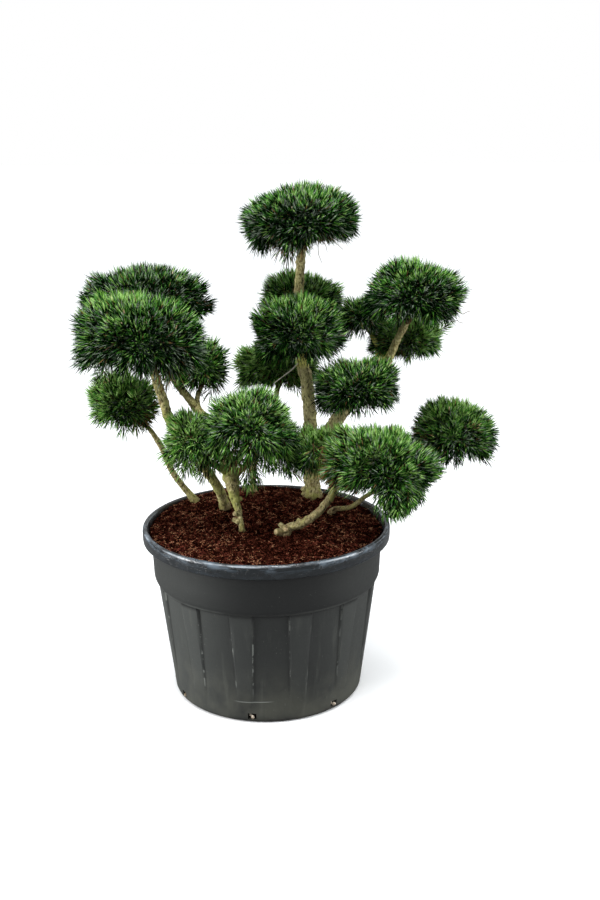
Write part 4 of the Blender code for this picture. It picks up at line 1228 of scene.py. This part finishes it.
# Rows of loose shoots that hang out of a dome: first and last tip in millimetres, how many
# there are, their way and their paleness.
HANGING = {
    "top": (
        ((-20, 150, 1560), (40, 140, 1535), 4, (-0.4, -0.3, -0.8), 0.3),
        ((72, 130, 1535), (86, 140, 1512), 2, (-0.1, -0.2, -1), 0.3),
    ),
    "left_front": (
        ((-371, -120, 1198), (-287, -120, 1165), 4, (0.1, -0.3, -0.9), 0.6),
        ((-330, -85, 1158), (-305, -85, 1142), 2, (0.2, -0.2, -1), 0.8),
        ((-352, -35, 1138), (-328, -35, 1118), 3, (-0.2, -0.3, -0.9), 0.5),
        ((-590, -90, 1205), (-530, -100, 1165), 4, (-0.8, -0.3, -0.5), 0.1),
    ),
    "left_low": (
        ((-500, 100, 915), (-420, 120, 940), 3, (0.1, -0.3, -0.9), 0.3),
        ((-378, 110, 1040), (-372, 100, 1000), 2, (0.6, -0.2, 0.2), 0.3),
    ),
    "left_inner": (
        ((-245, 200, 1030), (-205, 200, 1020), 2, (0, -0.2, -0.9), 0.3),
    ),
    "front_left": (
        ((-325, -105, 880), (-285, -115, 850), 3, (-0.6, -0.3, -0.7), 0.5),
        ((-270, -115, 842), (-180, -110, 848), 5, (-0.1, -0.3, -0.9), 0.5),
        ((-270, -135, 905), (-190, -135, 895), 4, (-0.1, -0.6, -0.6), 0.6),
        ((-285, -80, 815), (-215, -85, 805), 3, (-0.6, -0.3, -0.7), 0.2),
    ),
    "front_middle": (
        ((-168, -120, 865), (-48, -130, 852), 6, (-0.1, -0.4, -0.8), 0.6),
        ((-28, -125, 846), (76, -110, 862), 5, (0.2, -0.4, -0.8), 0.5),
        ((-150, -140, 905), (30, -140, 905), 7, (0, -0.7, -0.5), 0.6),
        ((15, -100, 835), (85, -100, 825), 3, (0.5, -0.3, -0.8), 0.2),
        ((-62, -30, 770), (-36, -30, 762), 3, (0.2, -0.4, -0.9), 2.2),
    ),
    "front_small": (
        ((158, -60, 850), (204, -65, 856), 4, (-0.1, -0.6, -0.5), 0.4),
        ((200, 10, 890), (285, -50, 925), 4, (0, -0.3, 0.9), 0.4),
    ),
    "front_right": (
        ((395, -220, 770), (489, -200, 766), 5, (0.1, -0.5, -0.8), 0.5),
        ((410, -200, 742), (463, -200, 730), 3, (0.1, -0.3, -0.9), 0.5),
        ((415, -195, 712), (445, -195, 705), 2, (0, -0.3, -0.9), 0.6),
    ),
    "far_right": (
        ((616, 120, 830), (690, 140, 810), 3, (-0.2, -0.3, -0.8), 0.3),
    ),
    "right_top": (
        ((600, 130, 1325), (575, 120, 1300), 2, (0.6, -0.2, -0.6), 0.3),
    ),
    "right_inner": (
        ((325, 300, 1235), (300, 310, 1255), 2, (-0.6, -0.3, -0.6), 0.3),
    ),
    "right_back": (
        ((373, 330, 1255), (443, 330, 1229), 4, (-0.2, -0.5, 0.3), 0.6),
        ((400, 330, 1195), (462, 320, 1165), 4, (-0.1, -0.5, -0.7), 0.6),
        ((560, 330, 1240), (640, 330, 1225), 3, (0.5, -0.5, 0.4), 0.8),
    ),
}
HANGING_LONG = 1.22
LOOSE = 0.42
LIMB_CLEAR = 0.002


def spread_ways(count, lowest, draw):
    """Ways over a dome from its top down to the lowest, evenly dealt by the golden angle."""
    i = np.arange(count)
    rise = 1 - (1 - lowest) * (i + 0.5) / count
    angle = draw.uniform(0, 2 * math.pi) + i * GOLDEN + draw.uniform(-0.5, 0.5, count) * 0.6
    rise = np.clip(rise + draw.normal(0, 0.02, count), -0.99, 0.995)
    flat = np.sqrt(1 - rise * rise)
    return np.stack([np.cos(angle) * flat, np.sin(angle) * flat, rise], 1)


def shoots_over(dome, deep, count, lowest, draw):
    """Shoots all over a dome: tips, axes and depths, near 0 for the outer and 1 for the inner ones."""
    ways = spread_ways(count, lowest, draw)
    axes = dome.outward(ways) * 0.45 + ways * 0.55
    lift = FLANK_LIFT if dome.name in FRONT_DOMES else LIFT
    axes[:, 2] += lift * smooth(ways[:, 2], -0.05, 0.30) * (1 - np.abs(ways[:, 2]))
    axes[:, 2] -= DROOP * smooth(-ways[:, 2], 0.05, 0.35)
    axes = unit(axes + draw.normal(0, 0.11, axes.shape))
    stand = draw.uniform(-0.5, 0.5, count)
    back = (SET_BACK + INNER_BACK * deep) * min(1.0, dome.tall / 0.24) * (1 - STAND * stand)
    tips = dome.level + dome.leaned(ways * dome.reach(ways)[:, None] - axes * back[:, None])
    return tips, dome.leaned(axes), deep - 0.7 * stand + draw.normal(0, 0.10, count)


def fringe_of(dome, draw):
    """Drooping shoots in a ragged ring round the dome's lower edge."""
    count = round(2 * math.pi * float(dome.half.mean()) * FRINGE_IN / FRINGE_APART)
    angle = 2 * math.pi * (np.arange(count) + draw.uniform(-0.35, 0.35, count)) / count
    round_way = np.stack([np.cos(angle), np.sin(angle)], 1)
    flat = round_way * dome.half * FRINGE_IN * draw.uniform(0.80, 1.08, (count, 1))
    down = -(FRINGE_DOWN + draw.uniform(-0.10, 0.10, count)) * dome.tall
    spots = np.column_stack([flat, down])
    tips = dome.level + dome.leaned(spots * dome.trim(unit(spots))[:, None])
    axes = np.column_stack([round_way * 0.75, np.full(count, -0.85)]) + draw.normal(0, 0.12, (count, 3))
    return tips, dome.leaned(unit(axes)), np.full(count, -0.3)


def hanging_row(first, last, count, way, paleness, draw):
    """One row of the loose shoots that hang out of a dome."""
    tips = np.linspace(first, last, count) / 1000 + draw.normal(0, 0.006, (count, 3))
    return tips, unit(np.array(way) + draw.normal(0, 0.16, (count, 3))), np.full(count, -paleness)


def shoots_of(dome, draw):
    """Tips, axes and depths of a dome's shoots, and 1 for each that hangs."""
    count = round(dome.area() / SHOOT_AREA)
    groups = [
        shoots_over(dome, 0.0, count, SHOOT_LOWEST, draw),
        shoots_over(dome, 1.0, round(count * INNER_SHARE), INNER_LOWEST, draw),
        fringe_of(dome, draw),
        *[hanging_row(*row, draw) for row in HANGING.get(dome.name, ())],
    ]
    hangs = [np.full(len(group[0]), float(place > 1)) for place, group in enumerate(groups)]
    return *[np.concatenate(part) for part in zip(*groups)], np.concatenate(hangs)


def limb_clear(tips, axes, reach):
    """Which shoots keep clear of every limb."""
    keep = np.ones(len(tips), bool)
    for way in LIMBS.values():
        centres, radii = smooth_way(way, 8)
        for share in (0.0, 0.5, 1.0):
            spots = tips - axes * reach * share
            gaps = np.linalg.norm(spots[:, None] - centres[None], axis=2) - radii[None]
            keep &= gaps.min(axis=1) > LIMB_CLEAR
    return keep


def needles_on(tips, axes, long, draw):
    """Needles round each shoot: four points each, and how far down the shoot each stands."""
    shape = (len(tips), NEEDLES)
    i = np.arange(NEEDLES)
    down = (i + draw.random(shape)) / NEEDLES
    turn = (i // 2) * GOLDEN + (i % 2) * 0.20 + draw.uniform(0, 6.28, (len(tips), 1))
    turn = (turn + draw.normal(0, 0.12, shape))[..., None]
    spread = SPREAD_TIP + (SPREAD_FOOT - SPREAD_TIP) * down ** 0.75 + draw.normal(0, 0.10, shape)
    spread = spread[..., None]
    first = unit(np.cross(axes, (0.21, 0.35, 0.91)))
    second = np.cross(axes, first)
    radial = np.cos(turn) * first[:, None] + np.sin(turn) * second[:, None]
    axes = axes[:, None]
    way = axes * np.cos(spread) + radial * np.sin(spread)
    size = (long[:, None] * draw.uniform(0.80, 1.10, shape) * (0.86 + 0.14 * down))[..., None]
    root = tips[:, None] - axes * (SHOOT_LONG * down)[..., None]
    bow = unit(np.cross(np.cross(axes, way), way))
    side = unit(np.cross(way, bow) + bow * draw.normal(0, 0.5, (*shape, 1)))
    middle = root + way * size * 0.52 + bow * size * NEEDLE_BOW
    half = side * NEEDLE_WIDE / 2 * draw.uniform(0.85, 1.2, (*shape, 1))
    points = np.stack([root, middle + half, middle - half, root + way * size], 2)
    return points.reshape(-1, 4, 3), down.reshape(-1)


def green_of(dome, tips, axes, depths, down, draw):
    """Which green each needle gets: by its tuft's place in the dome and its age, with light and shade
    painted in.
    """
    shoots = len(tips)
    rise = (tips[:, 2] - dome.level[2]) / (DOME_TOP_SHARE * dome.tall)
    slope = SLOPES.get(dome.name, SLOPE)
    # Painted light and shade: paler towards a dome's top and on its lower fringe, paler on upturned
    # shoots and by the dome's own offset, darker for inner shoots.
    light = rise * slope + (TOP_LIGHT - slope) + smooth(-rise, 0.10, 0.50) * 0.70
    light += axes[:, 2] * 0.22 + dome.light_and_tone - depths * 0.60 - (depths > 0.6) * 0.35
    shift = Vector((0.0, 0.0, dome.number * 3.7))
    light += PATCHY * np.array([noise.noise(Vector(tip) * 15.0 + shift) for tip in tips])
    light += draw.normal(0, 0.10, shoots)
    # Needles low on a shoot are darker, partly for age and partly as painted shade.
    each = np.repeat(light, NEEDLES) - down * 0.40 + draw.normal(0, 0.80, len(down))
    kind = np.array([DEEP, FULL, FRESH, LIME])[np.searchsorted((0.35, 0.62, 1.12), each)]
    lot = draw.random(len(down))
    # Painted glints: some dark and full needles are pale grey-blue, more in some tufts.
    glint_tuft = np.repeat(draw.random(shoots) < 0.5, NEEDLES)
    kind[(kind == DEEP) & (lot < np.where(glint_tuft, 0.30, 0.12))] = GLINT
    kind[(kind == FULL) & (lot < np.where(glint_tuft, 0.22, 0.08))] = GLINT
    from_bough = np.linalg.norm(tips - LIMBS[dome.bough][-1, :3], axis=1) / dome.half.mean()
    kind[lot > 0.993 - 0.30 * np.repeat(smooth(from_bough, 0.72, 0.34), NEEDLES)] = BROWN
    return kind


def face_greens(kind):
    """The four faces of each needle: the one at its root is dark, because it lies in shade."""
    faces = np.repeat(kind[:, None], len(NEEDLE_FACES), axis=1)
    faces[:, 0] = np.where(kind == BROWN, BROWN, DEEP)
    return faces.reshape(-1)


# %% Grow the needles of every dome
needle_total = 0
for dome in domes:
    draw = np.random.default_rng(700 + dome.number)
    shoots = shoots_of(dome, draw)
    clear = limb_clear(*shoots[:2], SHOOT_LONG)
    tips, axes, depths, hangs = (part[clear] for part in shoots)
    long = NEEDLE_LONG * min(1.0, 0.55 + dome.tall * 1.9) * (1 + (HANGING_LONG - 1) * hangs)
    points, down = needles_on(tips, axes, long, draw)
    kind = green_of(dome, tips, axes, depths, down, draw)
    there = draw.random(len(kind)) > np.repeat(hangs, NEEDLES) * LOOSE
    points, kind = points[there], kind[there]
    faces = repeated(NEEDLE_FACES, len(kind), 4)
    piece = piece_from("dome_" + dome.name, points.reshape(-1, 3), faces, greens, face_greens(kind))
    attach(piece, "root")
    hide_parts("needles_" + dome.name)
    dome.shoots = (tips, axes, depths)
    needle_total += len(kind)
    print(piece.name, "shoots", len(tips), "triangles", len(faces))
print("Needles:", needle_total, "Triangles:", needle_total * len(NEEDLE_FACES))

# %% [markdown]
# ## Twigs
#
# Under each dome the bough splits like the ribs of an umbrella, and every shoot hangs on a rib.
# Seen from below, that is what holds the dome up. The ribs fan out from the bough's own tip,
# and each shoot gets a thin twig to the nearest point of a rib.

# %% Grow ribs and twigs
RIB_SIDES = 6
RIB_POINTS = 9
RIB_LOW = -0.16
RIB_HIGH = 0.22
RIB_THIN = 0.0017
TWIG_SIDES = 3
TWIG_RADII = np.linspace(0.0026, 0.0015, 4)


def ribs_of(dome, draw):
    """Ribs from the bough's tip to the dome's edge and one up its middle, as places and radii."""
    centres, radii = smooth_way(LIMBS[dome.bough], 8)
    tip, thick = centres[-1], radii[-1]
    heading = unit(centres[-1] - centres[-2])
    count = max(7, round(38.4 * float(dome.half.mean())))
    turn = draw.uniform(0, 2 * math.pi)
    ribs = []
    for rib in range(count + 1):
        end = dome.level + dome.leaned(np.array([0, 0, 0.30 * dome.tall]))
        width = 0.62
        if rib < count:
            angle = turn + 2 * math.pi * rib / count + draw.uniform(-0.25, 0.25)
            way = unit(np.array([[math.cos(angle), math.sin(angle), draw.uniform(RIB_LOW, RIB_HIGH)]]))
            end = dome.level + dome.leaned(way[0] * dome.reach(way)[0] * draw.uniform(0.62, 0.76))
            width = draw.uniform(0.34, 0.50)
        bend = tip + heading * np.linalg.norm(end - tip) * 0.38
        t = np.linspace(0, 1, RIB_POINTS)[:, None]
        path = (1 - t) ** 2 * (tip - heading * 0.004) + 2 * t * (1 - t) * bend + t * t * end
        path[1:-1] += draw.normal(0, 0.0022, (RIB_POINTS - 2, 3))
        fat = thick * (width + (0.98 - width) * (1 - t[:, 0]) ** 3) * (1 - 0.62 * t[:, 0])
        ribs.append((path, np.maximum(fat, RIB_THIN)))
    return ribs


shapes = []
for dome in domes:
    draw = np.random.default_rng(900 + dome.number)
    ribs = ribs_of(dome, draw)
    shapes += [rings_round(path, radii, RIB_SIDES) for path, radii in ribs]
    joints = np.concatenate([path[2:] for path, _ in ribs])
    tips, axes, _ = dome.shoots
    for tip, foot in zip(tips, tips - axes * SHOOT_LONG * 0.9):
        joint = joints[np.argmin(np.linalg.norm(joints - foot, axis=1))]
        bend = (joint + foot) / 2 + draw.normal(0, 0.003, 3)
        shapes.append(rings_round(np.array([joint, bend, foot, tip]), TWIG_RADII, TWIG_SIDES))
twigs = piece_from("twigs", *gathered(shapes), [twig_bark])
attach(twigs, "root")
print("Ribs and twigs:", len(shapes), "faces", len(twigs.data.polygons))

# %% [markdown]
# ## Bare twigs
#
# A few thin dead twigs are left where the grower cleaned out the undersides, and one of them has
# lost its bark and is nearly white. Each is a thin bent tube between two places.

# %% Add the bare twigs
# Start and end in millimetres, radius at the start, and 1 for pale wood.
BARE_TWIGS = [
    ((112, 190, 1126), (30, 180, 1058), 3.0, 1),
    ((172, 120, 1600), (196, 120, 1486), 1.8, 0),
    ((214, 120, 1585), (268, 120, 1530), 1.8, 0),
    ((185, 130, 1570), (215, 125, 1520), 1.6, 0),
    ((640, 80, 1315), (700, 75, 1322), 1.8, 0),
    ((630, 80, 1300), (678, 75, 1284), 1.6, 0),
    ((-100, 20, 745), (-30, -10, 700), 2.2, 0),
]
BARE_SIDES = 5

peeled_wood = mottled("peeled_wood", (0.62, 0.56, 0.44), (0.90, 0.86, 0.76), 0.7, 0.2, 90.0, 4.0,
                      300.0, 0.0005, 0.4)
draw = np.random.default_rng(55)
shapes = []
for start, end, radius, _ in BARE_TWIGS:
    bends = np.linspace(start, end, 5) / 1000
    bends[1:-1] += draw.normal(0, 0.0035, (3, 3))
    shapes.append(rings_round(bends, np.linspace(radius, radius * 0.45, 5) / 1000, BARE_SIDES))
kinds = np.repeat([row[3] for row in BARE_TWIGS], [len(faces) for _, faces in shapes])
bare = piece_from("bare_twigs", *gathered(shapes), [twig_bark, peeled_wood], kinds)
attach(bare, "root")
print("Bare twigs:", len(shapes))

# %% [markdown]
# ## Buds
#
# A pine shoot ends in a bud with brown scales and a little pale resin, and from the front it
# is the dark or pale dot in the middle of each star of needles. On top of a dome the buds have
# stretched into short candles, dark against the sky. Each one is a spindle of six faces, which
# is enough at its size.

# %% Set a bud on each outer shoot
BUD_LONG = 0.011
CANDLE_LONG = 0.036
BUD_WIDE = 0.0046
BUD_SUNK = 0.002
RAISED_BUDS = 0.7
PALE_BUDS = 0.16

bud_finishes = [
    two_tone("bud_brown", (0.020, 0.011, 0.007), (0.085, 0.048, 0.026), 80.0, 0.6),
    two_tone("bud_pale", (0.260, 0.170, 0.090), (0.560, 0.460, 0.300), 80.0, 0.6),
]
draw = np.random.default_rng(77)
tips, ways, depths = (np.concatenate(part) for part in zip(*[dome.shoots for dome in domes]))
tips, ways = tips[depths < 0.5], ways[depths < 0.5]
count = len(tips)
raised = smooth(ways[:, 2:], 0.25, 0.75) * (draw.random((count, 1)) < RAISED_BUDS)
long = (BUD_LONG + (CANDLE_LONG - BUD_LONG) * raised) * draw.uniform(0.7, 1.25, (count, 1))
points, faces = spindles(tips - ways * BUD_SUNK, tips + ways * long,
                         draw.normal(size=(count, 3)), BUD_WIDE * draw.uniform(0.8, 1.3, count))
kinds = np.repeat((draw.random(count) < PALE_BUDS).astype(int), len(SPINDLE_FACES))
buds = piece_from("buds", points, faces, bud_finishes, kinds)
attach(buds, "root")
print("Buds:", count)
